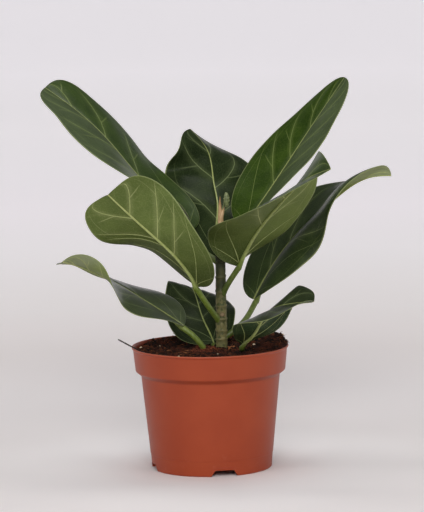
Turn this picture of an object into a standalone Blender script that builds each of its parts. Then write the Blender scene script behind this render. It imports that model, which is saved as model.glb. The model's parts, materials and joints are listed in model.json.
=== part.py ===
"""A young banyan fig in its nursery pot, modelled in metres with +Z up.

Sizes are given from the pot's axis, with the pot on the ground and its front towards -Y. The stem
rises a little to the right of that axis. Stalked leaves, a bud sheath and one unopened leaf grow
from it, and three more leaves rise from the compost. Each leaf is one piece: its stalk runs on under
the blade as the midrib. At the end the whole plant is moved so that the origin is the middle of its
box, on the ground.
"""

import math

import bmesh
import bpy
import numpy as np
from mathutils import Matrix

MM = 0.001
UP = np.array([0.0, 0.0, 1.0])
CLEARANCE = 0.3 * MM

# Pot: turned shell of thin plastic, heights above the ground and radii from the axis
RIM_RADIUS = 60.3 * MM
POT_HEIGHT = 96 * MM
LIP_RADIUS = 61.3 * MM
LIP_HEIGHT = 2.2 * MM
BAND_HEIGHT = 19 * MM
BAND_FOOT_RADIUS = 58.6 * MM
SHOULDER_HEIGHT = 3.4 * MM
WALL_TOP_RADIUS = 54.3 * MM
FOOT_RADIUS = 46.9 * MM
POT_WALL = 1.4 * MM
FOOT_WIDTH = 2.4 * MM
FLOOR_TOP = 7.2 * MM
FLOOR_THICKNESS = 1.6 * MM
EDGE_ROUND = 0.7 * MM
POT_SIDES = 56

# Drainage: four notches through the foot ring and five round holes in the floor
NOTCH_COUNT = 4
NOTCH_TURN = math.radians(-78)
NOTCH_FOOT_WIDTH = 21 * MM
NOTCH_TOP_WIDTH = 15 * MM
NOTCH_HEIGHT = 5 * MM
HOLE_RADIUS = 4.5 * MM
HOLE_RING = 28 * MM

# Compost: fills the pot, low on the left and heaped above the rim on the right
SOIL_LEVEL = 93.6 * MM
SOIL_RINGS = 11
SOIL_SIDES = 40
# Each swell of the compost: middle x and y, spread, rise
SOIL_SWELLS = (
    (49 * MM, 15 * MM, 16 * MM, 9.0 * MM),
    (46 * MM, -16 * MM, 12 * MM, 3.0 * MM),
    (-52 * MM, 2 * MM, 7 * MM, 1.8 * MM),
    (-28 * MM, 6 * MM, 16 * MM, -3.6 * MM),
    (-15 * MM, 48 * MM, 22 * MM, 3.0 * MM),
    (-4 * MM, -9 * MM, 6.5 * MM, 3.2 * MM),
)
SOIL_LUMP = 0.7 * MM

# Stem: straight and upright, its foot buried in the compost
STEM_X = 9.2 * MM
STEM_Y = 0 * MM
STEM_BURIED_END = 48 * MM
STEM_TOP = 190 * MM
STEM_FOOT_RADIUS = 5.0 * MM
STEM_TOP_RADIUS = 3.6 * MM
STEM_CROWN = 6 * MM
STEM_SIDES = 20
# Heights of the ring scars and leaf joints, and how far they stand out
STEM_NODES = tuple(z * MM for z in (101, 107.5, 117, 127, 138, 150, 161.5, 172, 181))
STEM_NODE_SWELL = 0.55 * MM
STEM_NODE_HALF = 1.5 * MM

# Leaves: shared sizes of the blade's skin, its veins and its stalk
BLADE_THICKNESS = 0.8 * MM
VEIN_RIDGE = 0.55 * MM
STALK_RADIUS = 2.15 * MM
MIDRIB_BASE_RADIUS = 1.7 * MM
MIDRIB_TIP_RADIUS = 0.55 * MM
MIDRIB_SKIN = 0.3 * MM
MIDRIB_REACH = 0.88
LEAF_ROWS = 18
LEAF_HALF_COLUMNS = 4
VEIN_EVERY = 3
VEIN_SWEEP = 0.45
VEIN_BEND = 1.4
STALK_STEPS = 6
MIDRIB_STEPS = 10

# Each leaf: stalk foot, stalk middle, blade base and the midrib's points out to the tip, in mm;
# half widths in mm left and right of the midrib, seen from the stalk with the upper side up;
# how blunt the blade's base and tip are (a smaller number is blunter); then in degrees, evenly
# from base to tip: roll about the midrib, fold of the halves, and the curl added at each margin
LEAVES = {
    "leaf_upper_left": dict(
        path=(
            (8, 0, 161), (-3, 6, 170), (-13, 13, 185), (-43, 22, 216),
            (-75, 34, 253), (-102, 48, 278), (-127, 55, 296),
        ),
        half=(39, 39), blunt=(0.46, 0.36),
        roll=(-9, 0, -1, 4, 25), fold=(34, 4, 12), curl_left=(12, -10, -10), curl_right=(14, -10, -19),
    ),
    "leaf_upper_back": dict(
        path=(
            (8, 0, 146), (8.5, 12, 150), (7.5, 22, 159), (6, 31, 178),
            (8, 46, 200), (5, 69, 219), (1, 82, 241), (-13, 93, 258),
        ),
        half=(39.5, 39), blunt=(0.62, 0.49),
        roll=(-7, -8, -11, -6, -12), fold=(9, -1, -13), curl_left=(-3, -4, -7), curl_right=(0, -8, 5),
    ),
    "leaf_upper_right": dict(
        path=((8.6, 0, 171), (18, 5, 177), (27, 9, 187), (53, 26, 221), (81, 44, 260), (110, 56, 300)),
        half=(37, 37), blunt=(0.46, 0.5),
        roll=(-2, 2, -1, -3, -7), fold=(22, 10, 0), curl_left=(7, 0, -12), curl_right=(7, -2, -7),
    ),
    "leaf_middle_left": dict(
        path=(
            (10, -2, 111), (0, -11, 129), (-8, -19, 145), (-26, -39, 173), (-53, -55, 200), (-75, -71, 223),
        ),
        half=(34, 34.5), blunt=(0.35, 0.19),
        roll=(9, -1, -24, -50, -46), fold=(6, 12, 17), curl_left=(11, 3, -11), curl_right=(8, -9, -30),
    ),
    "leaf_middle_right": dict(
        path=(
            (8, 0, 137), (17, -6, 149), (22, -8, 159), (37, -26, 187),
            (55, -49, 212), (73, -77, 232), (92, -106, 243),
        ),
        half=(37.5, 39.5), blunt=(0.36, 0.64),
        roll=(4, -1, -14, -39, -57), fold=(23, 9, 30), curl_left=(-5, -30, -24), curl_right=(19, -10, -5),
    ),
    "leaf_far_right": dict(
        path=(
            (8, 0, 100), (25, 6, 113), (35, 20, 129), (62, 35, 170),
            (98, 24, 206), (129, 13, 225), (144, 17, 225),
        ),
        half=(40, 37), blunt=(0.63, 0.67),
        roll=(13, -7, -17, 1, 34), fold=(12, 17, 39), curl_left=(-20, 6, -98), curl_right=(-47, -88, -106),
    ),
    "leaf_lower_left": dict(
        path=(
            (0.5, -8, 86), (-11, -15, 106), (-20, -15, 114), (-45, -12, 131),
            (-72, -16, 149), (-96, -32, 163), (-111, -58, 171),
        ),
        half=(33, 33.5), blunt=(0.56, 0.81),
        roll=(15, 17, 13, 7, -39), fold=(18, 1, 22), curl_left=(14, -25, 19), curl_right=(-19, -31, -26),
    ),
    "leaf_lower_back": dict(
        path=(
            (4.5, 6.8, 85), (4, 9.3, 92), (3, 12, 96), (-4, 30, 110),
            (-9, 53, 122), (-14, 73, 132), (-20, 92, 128),
        ),
        half=(27.5, 27.5), blunt=(0.45, 0.56),
        roll=(19, 19, 3, -16, -20), fold=(-6, -2, 3), curl_left=(-10, -8, -3), curl_right=(-3, -5, -7),
    ),
    "leaf_lower_right": dict(
        path=(
            (22.5, -14, 86), (24.5, -18, 93), (25.5, -27, 100), (33.5, -44, 111),
            (42, -60, 128), (54, -76, 137), (79, -86, 141),
        ),
        half=(28, 28), blunt=(0.73, 0.39),
        roll=(3, 0, -19, -29, -9), fold=(18, 7, 23), curl_left=(-43, -37, -35), curl_right=(-4, -3, -3),
    ),
}
# Leaves whose stalks come up through the compost
BURIED_STALKS = ("leaf_lower_left", "leaf_lower_back", "leaf_lower_right")
BLADE_BASE_POINT = 2

# Growing tip: a split sheath on top of the stem, whose short prong carries one unopened leaf
SHEATH_X = 10 * MM
SHEATH_RADIUS = 2.4 * MM
SHEATH_HEIGHT = 13.5 * MM
LONG_PRONG = ((9.7 * MM, 0.1 * MM, 195 * MM), (9.7 * MM, 0.1 * MM, 203 * MM), (9.8 * MM, 0.4 * MM, 212.7 * MM))
SHORT_PRONG = (
    (10.2 * MM, -0.1 * MM, 195 * MM), (11.2 * MM, -0.3 * MM, 199.5 * MM), (12.1 * MM, -0.6 * MM, 203.8 * MM),
)
LONG_PRONG_RADII = (1.3 * MM, 1.1 * MM, 0.2 * MM)
SHORT_PRONG_RADII = (1.5 * MM, 1.3 * MM, 0.9 * MM)
YOUNG_STALK_RADIUS = 0.65 * MM
YOUNG_STALK_LENGTH = 5 * MM
YOUNG_BLADE_MIDDLE = (14.4 * MM, -0.6 * MM, 210 * MM)
YOUNG_BLADE_SIZE = (2.6 * MM, 1.5 * MM, 5.4 * MM)

# Bark stick: stuck in the compost, it rests on the rim at the left and leans out over it, in mm
STICK_POINTS = (
    (-45, -11, 88.5), (-52, -12.3, 93.2), (-59.5, -13.8, 97.1), (-65, -14.6, 100.3), (-71.5, -15, 104),
)
STICK_RADIUS = 0.55 * MM


def new_collection(name):
    made = bpy.data.collections.new(name)
    bpy.context.scene.collection.children.link(made)
    return made


def clear_scene():
    for obj in list(bpy.data.objects):
        bpy.data.objects.remove(obj, do_unlink=True)


def plain_material(name, colour, roughness):
    material = bpy.data.materials.new(name)
    material.use_nodes = True
    shader = material.node_tree.nodes["Principled BSDF"]
    shader.inputs["Base Color"].default_value = (*colour, 1.0)
    shader.inputs["Roughness"].default_value = roughness
    shader.inputs["Metallic"].default_value = 0.0
    material.diffuse_color = (*colour, 1.0)
    return material


def add_object(name, mesh, collection, material=None):
    obj = bpy.data.objects.new(name, mesh)
    collection.objects.link(obj)
    if material is not None:
        mesh.materials.clear()
        mesh.materials.append(material)
    return obj


def mesh_of(obj):
    """The object's evaluated mesh, with the curve's loose caps welded on."""
    graph = bpy.context.evaluated_depsgraph_get()
    mesh = bpy.data.meshes.new_from_object(obj.evaluated_get(graph), depsgraph=graph)
    bm = bmesh.new()
    bm.from_mesh(mesh)
    bmesh.ops.remove_doubles(bm, verts=bm.verts, dist=0.00001)
    bmesh.ops.recalc_face_normals(bm, faces=bm.faces)
    bm.to_mesh(mesh)
    bm.free()
    return mesh


def bake(obj, collection, material=None):
    """Replace an object by a plain mesh object of the same name and place."""
    mesh = mesh_of(obj)
    name = obj.name
    place = obj.matrix_world.copy()
    bpy.data.objects.remove(obj, do_unlink=True)
    baked = add_object(name, mesh, collection, material)
    baked.matrix_world = place
    return baked


def set_smooth(obj, degrees=40):
    obj.data.shade_smooth()
    obj.data.set_sharp_from_angle(angle=math.radians(degrees))


def turned(name, profile, sides, collection, material=None):
    """Turn a profile of (radius, height) points about the Z axis."""
    mesh = bpy.data.meshes.new(name)
    edges = [(i, i + 1) for i in range(len(profile) - 1)]
    mesh.from_pydata([(radius, 0, height) for radius, height in profile], edges, [])
    obj = add_object(name, mesh, collection, material)
    screw = obj.modifiers.new("turn", "SCREW")
    screw.steps = sides
    screw.render_steps = sides
    screw.use_merge_vertices = True
    screw.merge_threshold = 0.00001
    screw.use_smooth_shade = True
    return obj


def tube(name, points, radii, collection, material=None, resolution=2):
    """A round stalk along the points, with its own radius at each."""
    curve = bpy.data.curves.new(name, "CURVE")
    curve.dimensions = "3D"
    curve.bevel_depth = 1.0
    curve.bevel_resolution = resolution
    curve.use_fill_caps = True
    curve.twist_mode = "MINIMUM"
    spline = curve.splines.new("POLY")
    spline.points.add(len(points) - 1)
    for point, place, radius in zip(spline.points, points, radii):
        point.co = (*place, 1.0)
        point.radius = radius
    obj = bpy.data.objects.new(name, curve)
    collection.objects.link(obj)
    return bake(obj, collection, material)


def as_cutter(obj):
    obj.hide_render = True
    obj.display_type = "WIRE"
    return obj


def cut(obj, name, operand, operation="DIFFERENCE", solver="EXACT"):
    """Add a Boolean with an object or a whole collection."""
    boolean = obj.modifiers.new(name, "BOOLEAN")
    boolean.operation = operation
    boolean.solver = solver
    if isinstance(operand, bpy.types.Collection):
        boolean.operand_type = "COLLECTION"
        boolean.collection = operand
    else:
        boolean.object = operand
    return boolean


def pot_profile():
    """Inside of the floor, up the inner wall, over the rim, down the outside and in under the foot."""
    band_foot = POT_HEIGHT - BAND_HEIGHT
    wall_top = band_foot - SHOULDER_HEIGHT
    floor_bottom = FLOOR_TOP - FLOOR_THICKNESS
    slope = (WALL_TOP_RADIUS - FOOT_RADIUS) / wall_top

    def inner(height):
        return FOOT_RADIUS + slope * height - POT_WALL

    top = POT_HEIGHT
    return [
        (0, FLOOR_TOP),
        (inner(FLOOR_TOP) - 2 * EDGE_ROUND, FLOOR_TOP),
        (inner(FLOOR_TOP) + 0.1 * EDGE_ROUND, FLOOR_TOP + 2 * EDGE_ROUND),
        (inner(wall_top), wall_top + 0.5 * POT_WALL),
        (BAND_FOOT_RADIUS - POT_WALL, band_foot + POT_WALL),
        (RIM_RADIUS - POT_WALL, top - LIP_HEIGHT),
        (LIP_RADIUS - POT_WALL - 0.2 * EDGE_ROUND, top - 0.4 * EDGE_ROUND),
        (LIP_RADIUS - 0.6 * POT_WALL, top),
        (LIP_RADIUS - 0.3 * EDGE_ROUND, top - 0.3 * EDGE_ROUND),
        (LIP_RADIUS, top - EDGE_ROUND),
        (RIM_RADIUS, top - LIP_HEIGHT),
        (BAND_FOOT_RADIUS, band_foot + 1.6 * EDGE_ROUND),
        (BAND_FOOT_RADIUS - 0.5 * EDGE_ROUND, band_foot),
        (WALL_TOP_RADIUS + EDGE_ROUND, wall_top + 0.4 * EDGE_ROUND),
        (WALL_TOP_RADIUS, wall_top - 0.5 * EDGE_ROUND),
        (FOOT_RADIUS + slope * 2 * EDGE_ROUND, 2 * EDGE_ROUND),
        (FOOT_RADIUS - 0.2 * EDGE_ROUND, 0.3 * EDGE_ROUND),
        (FOOT_RADIUS - EDGE_ROUND, 0),
        (FOOT_RADIUS - FOOT_WIDTH, 0),
        (FOOT_RADIUS - FOOT_WIDTH, floor_bottom - EDGE_ROUND),
        (FOOT_RADIUS - FOOT_WIDTH - EDGE_ROUND, floor_bottom),
        (0, floor_bottom),
    ]


def notch_cutter(turn, collection):
    """A trapezoid bar through the foot ring, wide at the ground."""
    bm = bmesh.new()
    bmesh.ops.create_cube(bm, size=1)
    for vert in bm.verts:
        low = vert.co.z < 0
        width = NOTCH_FOOT_WIDTH if low else NOTCH_TOP_WIDTH
        extra = (NOTCH_FOOT_WIDTH - NOTCH_TOP_WIDTH) / NOTCH_HEIGHT * MM if low else 0
        vert.co.y *= width + extra
        vert.co.z = -MM if low else NOTCH_HEIGHT
        vert.co.x = FOOT_RADIUS + (vert.co.x * 4) * FOOT_WIDTH
    mesh = bpy.data.meshes.new("notch")
    bm.to_mesh(mesh)
    bm.free()
    mesh.transform(Matrix.Rotation(turn, 4, "Z"))
    return as_cutter(add_object("notch", mesh, collection))


def floor_hole_cutter(x, y, collection):
    bm = bmesh.new()
    bmesh.ops.create_cone(
        bm, cap_ends=True, segments=16, radius1=HOLE_RADIUS, radius2=HOLE_RADIUS, depth=4 * FLOOR_THICKNESS
    )
    mesh = bpy.data.meshes.new("floor_hole")
    bm.to_mesh(mesh)
    bm.free()
    mesh.transform(Matrix.Translation((x, y, FLOOR_TOP - FLOOR_THICKNESS / 2)))
    return as_cutter(add_object("floor_hole", mesh, collection))


def make_pot(collection, cutters):
    material = plain_material("terracotta plastic", (0.33, 0.062, 0.027), 0.45)
    pot = turned("pot", pot_profile(), POT_SIDES, collection, material)
    for i in range(NOTCH_COUNT):
        turn = NOTCH_TURN + i * 2 * math.pi / NOTCH_COUNT
        notch_cutter(turn, cutters)
        between = turn + math.pi / NOTCH_COUNT
        floor_hole_cutter(HOLE_RING * math.cos(between), HOLE_RING * math.sin(between), cutters)
    floor_hole_cutter(0, 0, cutters)
    cut(pot, "drainage", cutters)
    return pot


def soil_height(x, y):
    """Height of the compost's surface, with its swells and small lumps."""
    height = SOIL_LEVEL
    for middle_x, middle_y, spread, rise in SOIL_SWELLS:
        away = ((x - middle_x) ** 2 + (y - middle_y) ** 2) / (2 * spread**2)
        height += rise * math.exp(-away)
    lumps = math.sin(x / MM * 0.41 + 1.7) * math.sin(y / MM * 0.37 + 0.4)
    lumps += 0.6 * math.sin((x + y) / MM * 0.73) * math.sin((x - y) / MM * 0.59 + 2.0)
    height += SOIL_LUMP * lumps
    edge = max(0.0, math.hypot(x, y) - 0.84 * RIM_RADIUS)
    droop = 0.35 * max(0.0, 0.5 - (x + y) / (2 * RIM_RADIUS))
    return height - droop * edge


def make_soil(collection):
    band_foot = POT_HEIGHT - BAND_HEIGHT
    wall_top = band_foot - SHOULDER_HEIGHT
    slope = (WALL_TOP_RADIUS - FOOT_RADIUS) / wall_top
    side = POT_WALL + 2.5 * CLEARANCE
    bottom = FLOOR_TOP + CLEARANCE
    bottom_radius = FOOT_RADIUS + slope * bottom - side - 2 * EDGE_ROUND
    top_radius = RIM_RADIUS - POT_WALL - 3 * CLEARANCE
    profile = [(top_radius * i / SOIL_RINGS, SOIL_LEVEL) for i in range(SOIL_RINGS + 1)]
    profile += [
        (BAND_FOOT_RADIUS - side, band_foot + 2 * POT_WALL),
        (WALL_TOP_RADIUS - side, wall_top + POT_WALL),
        (bottom_radius + 1.5 * EDGE_ROUND, bottom + 2 * EDGE_ROUND),
        (bottom_radius, bottom),
        (0, bottom),
    ]
    material = plain_material("dark compost", (0.035, 0.017, 0.011), 0.95)
    soil = bake(turned("soil", profile, SOIL_SIDES, collection), collection, material)
    for vert in soil.data.vertices:
        if vert.co.z > SOIL_LEVEL - 0.01 * MM:
            vert.co.z = soil_height(vert.co.x, vert.co.y)
    return soil


def stem_radius(height):
    """Tapers upwards, narrows at its crown and swells at each ring scar."""
    along = (height - STEM_BURIED_END) / (STEM_TOP - STEM_BURIED_END)
    radius = STEM_FOOT_RADIUS + (STEM_TOP_RADIUS - STEM_FOOT_RADIUS) * along
    radius -= 0.15 * STEM_TOP_RADIUS * max(0.0, 1 - (STEM_TOP - height) / STEM_CROWN) ** 2
    for node in STEM_NODES:
        radius += STEM_NODE_SWELL * math.exp(-(((height - node) / STEM_NODE_HALF) ** 2))
    return radius


def stem_profile(extra=0.0):
    heights = [STEM_TOP]
    for node in reversed(STEM_NODES):
        heights += [node + 1.6 * STEM_NODE_HALF, node, node - 1.6 * STEM_NODE_HALF]
    heights += [70 * MM, STEM_BURIED_END + 6 * MM]
    profile = [(0, STEM_TOP + extra)]
    profile += [(stem_radius(height) + extra, height) for height in heights]
    profile += [(0.6 * STEM_FOOT_RADIUS + extra, STEM_BURIED_END - extra), (0, STEM_BURIED_END - extra)]
    return profile


def make_stem(collection):
    material = plain_material("green bark", (0.16, 0.17, 0.06), 0.6)
    stem = turned("stem", stem_profile(), STEM_SIDES, collection, material)
    stem.location = (STEM_X, STEM_Y, 0)
    return stem


def stem_cutter(collection):
    """The stem made thicker all round by the clearance."""
    cutter = turned("stem_clearance", stem_profile(CLEARANCE), STEM_SIDES, collection)
    cutter.location = (STEM_X, STEM_Y, 0)
    return as_cutter(cutter)


class MidribCurve:
    """Natural cubic curve through a leaf's points, read by length along its chords."""

    def __init__(self, points):
        self.points = np.array(points, dtype=float) * MM
        steps = np.linalg.norm(np.diff(self.points, axis=0), axis=1)
        self.steps = steps
        self.stations = np.concatenate([[0.0], np.cumsum(steps)])
        count = len(self.points)
        system = np.eye(count)
        bends = np.zeros((count, 3))
        for i in range(1, count - 1):
            system[i, i - 1 : i + 2] = steps[i - 1], 2 * (steps[i - 1] + steps[i]), steps[i]
            ahead = (self.points[i + 1] - self.points[i]) / steps[i]
            behind = (self.points[i] - self.points[i - 1]) / steps[i - 1]
            bends[i] = 6 * (ahead - behind)
        self.bends = np.linalg.solve(system, bends)

    def at(self, station):
        """Place and unit direction at a station along the curve."""
        i = int(np.clip(np.searchsorted(self.stations, station, side="right") - 1, 0, len(self.steps) - 1))
        step = self.steps[i]
        left = self.stations[i + 1] - station
        right = station - self.stations[i]
        start = self.points[i] / step - self.bends[i] * step / 6
        end = self.points[i + 1] / step - self.bends[i + 1] * step / 6
        place = (self.bends[i] * left**3 + self.bends[i + 1] * right**3) / (6 * step) + start * left + end * right
        along = (self.bends[i + 1] * right**2 - self.bends[i] * left**2) / (2 * step) + end - start
        return place, along / np.linalg.norm(along)


def eased(values, along):
    """Smooth curve through values set evenly from base to tip."""
    last = len(values) - 1
    spread = [2 * values[0] - values[1], *values, 2 * values[-1] - values[-2]]
    x = min(max(along, 0.0), 1.0) * last
    i = min(int(x), last - 1)
    f = x - i
    a, b, c, d = spread[i : i + 4]
    return 0.5 * (2 * b + (c - a) * f + (2 * a - 5 * b + 4 * c - d) * f**2 + (3 * b - a - 3 * c + d) * f**3)


class Leaf:
    """A leaf's own form: where a point of the flat blade lies in space."""

    def __init__(self, name, path, half, blunt, roll, fold, curl_left, curl_right):
        self.name = name
        self.curve = MidribCurve(path)
        self.half = (half[0] * MM, half[1] * MM)
        self.blunt = blunt
        self.roll = roll
        self.fold = fold
        self.curl = (curl_left, curl_right)
        self.base = self.curve.stations[BLADE_BASE_POINT]
        self.length = self.curve.stations[-1] - self.base

    def outline(self, along):
        """Share of the full half width at a place along the blade."""
        base, tip = self.blunt
        widest = base / (base + tip)
        along = min(max(along, 0.0), 1.0)
        return (along / widest) ** base * ((1 - along) / (1 - widest)) ** tip

    def frame(self, along):
        """Place on the midrib, the direction across the blade and the blade's upper side."""
        place, forward = self.curve.at(self.base + along * self.length)
        level = np.cross(forward, UP)
        level /= np.linalg.norm(level)
        upper = np.cross(level, forward)
        roll = math.radians(eased(self.roll, along))
        across = level * math.cos(roll) + upper * math.sin(roll)
        normal = upper * math.cos(roll) - level * math.sin(roll)
        return place, across, normal

    def point(self, row, column):
        """Surface point: row from base to tip, column from -1 at the left margin to 1 at the right."""
        margin = row + VEIN_SWEEP * row * (1 - row)
        away = abs(column)
        along = row + (margin - row) * away**VEIN_BEND
        side = 1 if column > 0 else 0
        width = self.half[side]
        out = away * self.outline(margin) * width
        place, across, normal = self.frame(along)
        fold = math.radians(eased(self.fold, along))
        bend = math.radians(eased(self.curl[side], along)) / width
        if abs(bend) < 1e-9:
            bend = 1e-9
        level = (math.sin(fold + bend * out) - math.sin(fold)) / bend
        rise = (math.cos(fold) - math.cos(fold + bend * out)) / bend
        sideways = level if column > 0 else -level
        return place + across * sideways + normal * rise

    def stalk_points(self):
        """Centre line and radius of the stalk and the midrib under the blade."""
        points = []
        radii = []
        for i in range(STALK_STEPS):
            station = self.base * i / STALK_STEPS
            place, forward = self.curve.at(station)
            level = np.cross(forward, UP)
            level /= np.linalg.norm(level)
            radius = STALK_RADIUS
            drop = (radius + MIDRIB_SKIN) * i / STALK_STEPS
            points.append(place - np.cross(level, forward) * drop)
            radii.append(radius)
        for i in range(MIDRIB_STEPS + 1):
            along = MIDRIB_REACH * i / MIDRIB_STEPS
            place, _, normal = self.frame(along)
            radius = MIDRIB_BASE_RADIUS + (MIDRIB_TIP_RADIUS - MIDRIB_BASE_RADIUS) * along / MIDRIB_REACH
            points.append(place - normal * (radius + MIDRIB_SKIN))
            radii.append(radius)
        return points, radii


def blade_object(leaf, collection):
    """The blade as an open grid whose rows follow the side veins, thickened towards its underside."""
    bm = bmesh.new()
    bmesh.ops.create_grid(bm, x_segments=LEAF_ROWS, y_segments=2 * LEAF_HALF_COLUMNS, size=1)
    veins = bm.verts.layers.deform.verify()
    skin = BLADE_THICKNESS / (BLADE_THICKNESS + VEIN_RIDGE)
    for vert in bm.verts:
        row = round((vert.co.x + 1) / 2 * LEAF_ROWS)
        column = vert.co.y
        along = (1 - math.cos(math.pi * row / LEAF_ROWS)) / 2
        on_vein = row % VEIN_EVERY == 1 and 0 < row < LEAF_ROWS
        ridge = 1 - abs(column) if on_vein else 0
        vert[veins][0] = skin + (1 - skin) * ridge
        vert.co = leaf.point(along, column)
    bmesh.ops.remove_doubles(bm, verts=bm.verts, dist=0.00001)
    bmesh.ops.triangulate(bm, faces=bm.faces)
    mesh = bpy.data.meshes.new(leaf.name + "_blade")
    bm.to_mesh(mesh)
    bm.free()
    blade = add_object(leaf.name + "_blade", mesh, collection)
    blade.vertex_groups.new(name="thickness")
    solidify = blade.modifiers.new("thickness", "SOLIDIFY")
    solidify.thickness = BLADE_THICKNESS + VEIN_RIDGE
    solidify.offset = 1
    solidify.use_even_offset = False
    solidify.vertex_group = "thickness"
    return bake(blade, collection)


def make_leaf(name, sizes, collection, stem_clearance):
    leaf = Leaf(name, **sizes)
    material = plain_material(name + " green", (0.035, 0.075, 0.022), 0.35)
    joining = new_collection(name + "_joining")
    points, radii = leaf.stalk_points()
    tube(name + "_stalk", points, radii, joining)
    body = blade_object(leaf, collection)
    body.name = name
    cut(body, "stalk", joining, operation="UNION")
    if name not in BURIED_STALKS:
        cut(body, "stem joint", stem_clearance)
    joined = bake(body, collection, material)
    for part in list(joining.objects):
        bpy.data.objects.remove(part, do_unlink=True)
    bpy.data.collections.remove(joining)
    return joined


def stalk_cutter(name, sizes, collection):
    """A buried stalk made thicker by the clearance, up to the blade's base."""
    leaf = Leaf(name, **sizes)
    points, radii = leaf.stalk_points()
    wide = [radius + CLEARANCE for radius in radii]
    first = np.array(points[0])
    back = first - np.array(points[1])
    ahead = back / np.linalg.norm(back) * CLEARANCE
    points = [first + ahead] + points[1 : STALK_STEPS + 2]
    return as_cutter(tube(name + "_clearance", points, wide[: STALK_STEPS + 2], collection))


def make_sheath(collection):
    """The papery sheath round the bud, split into two prongs at its top."""
    material = plain_material("peach sheath", (0.55, 0.30, 0.17), 0.5)
    joining = new_collection("sheath_joining")
    base = STEM_TOP + CLEARANCE
    top = base + SHEATH_HEIGHT
    foot = [(0, top), (0.35 * SHEATH_RADIUS, top - MM), (0.7 * SHEATH_RADIUS, base + 0.55 * SHEATH_HEIGHT)]
    foot += [(SHEATH_RADIUS, base + 2 * MM), (0.9 * SHEATH_RADIUS, base), (0, base)]
    tube("long_prong", LONG_PRONG, LONG_PRONG_RADII, joining)
    tube("short_prong", SHORT_PRONG, SHORT_PRONG_RADII, joining)
    sheath = turned("bud_sheath", foot, 12, collection)
    sheath.location = (SHEATH_X, 0, 0)
    bpy.context.view_layer.update()
    cut(sheath, "prongs", joining, operation="UNION")
    joined = bake(sheath, collection, material)
    for part in list(joining.objects):
        bpy.data.objects.remove(part, do_unlink=True)
    bpy.data.collections.remove(joining)
    return joined


def make_young_leaf(collection):
    """The unopened leaf: a rolled spindle on a thin stalk, which rises from the sheath's short prong."""
    material = plain_material("young leaf green", (0.22, 0.27, 0.10), 0.45)
    joining = new_collection("young_joining")
    bm = bmesh.new()
    bmesh.ops.create_uvsphere(bm, u_segments=12, v_segments=8, radius=1)
    for vert in bm.verts:
        groove = 0.35 * max(0.0, -vert.co.y) * (1 - vert.co.z**2) * math.exp(-((vert.co.x / 0.35) ** 2))
        size_x, size_y, size_z = YOUNG_BLADE_SIZE
        vert.co = (vert.co.x * size_x, (vert.co.y + groove) * size_y, vert.co.z * size_z)
    mesh = bpy.data.meshes.new("young_blade")
    bm.to_mesh(mesh)
    bm.free()
    mesh.transform(Matrix.Translation(YOUNG_BLADE_MIDDLE))
    add_object("young_blade", mesh, joining)
    middle = np.array(YOUNG_BLADE_MIDDLE)
    rising = np.array(SHORT_PRONG[-1]) - np.array(SHORT_PRONG[-2])
    rising /= np.linalg.norm(rising)
    foot = np.array(SHORT_PRONG[-1]) + CLEARANCE * rising
    knee = (foot + YOUNG_STALK_LENGTH * rising + middle) / 2
    radii = [YOUNG_STALK_RADIUS] * 3
    stalk = tube("young_leaf", [foot, knee, middle], radii, collection)
    cut(stalk, "blade", joining, operation="UNION")
    joined = bake(stalk, collection, material)
    for part in list(joining.objects):
        bpy.data.objects.remove(part, do_unlink=True)
    bpy.data.collections.remove(joining)
    return joined


def make_stick(name, extra, collection, material=None):
    """The stick, or with extra size the hole that it leaves in the compost."""
    points = [np.array(point) * MM for point in STICK_POINTS]
    back = points[0] - points[1]
    points[0] = points[0] + back / np.linalg.norm(back) * extra
    return tube(name, points, [STICK_RADIUS + extra] * len(points), collection, material)


def centre_on_box(collections):
    """Hang everything on an empty, which puts the middle of the plant's box over the origin."""
    bpy.context.view_layer.update()
    graph = bpy.context.evaluated_depsgraph_get()
    corners = []
    for obj in collections[0].objects:
        mesh = obj.evaluated_get(graph).to_mesh()
        corners += [obj.matrix_world @ vert.co for vert in mesh.vertices]
    middle = [(min(axis) + max(axis)) / 2 for axis in zip(*corners)]
    empty = bpy.data.objects.new("plant_place", None)
    bpy.context.scene.collection.objects.link(empty)
    for collection in collections:
        for obj in collection.objects:
            obj.parent = empty
    empty.location = (-middle[0], -middle[1], 0)


def main():
    clear_scene()
    plant = new_collection("potted_banyan_fig")
    drainage = new_collection("drainage_cutters")
    clearances = new_collection("clearance_cutters")

    make_pot(plant, drainage)
    soil = make_soil(plant)
    make_stem(plant)
    stem_clearance = stem_cutter(clearances)
    bpy.context.view_layer.update()
    for name, sizes in LEAVES.items():
        make_leaf(name, sizes, plant, stem_clearance)
    for name in BURIED_STALKS:
        stalk_cutter(name, LEAVES[name], clearances)
    make_sheath(plant)
    make_young_leaf(plant)
    bark = plain_material("dark bark", (0.03, 0.022, 0.02), 0.85)
    make_stick("bark_stick", 0, plant, bark)
    as_cutter(make_stick("bark_stick_clearance", CLEARANCE, clearances))
    cut(soil, "planting holes", clearances)
    for obj in plant.objects:
        set_smooth(obj)
    centre_on_box((plant, drainage, clearances))


main()
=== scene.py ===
"""The looks of a young banyan fig in its nursery pot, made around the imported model."""

import json
import math

import bmesh
import bpy
import numpy as np
from mathutils import Matrix, Vector, noise

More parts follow.
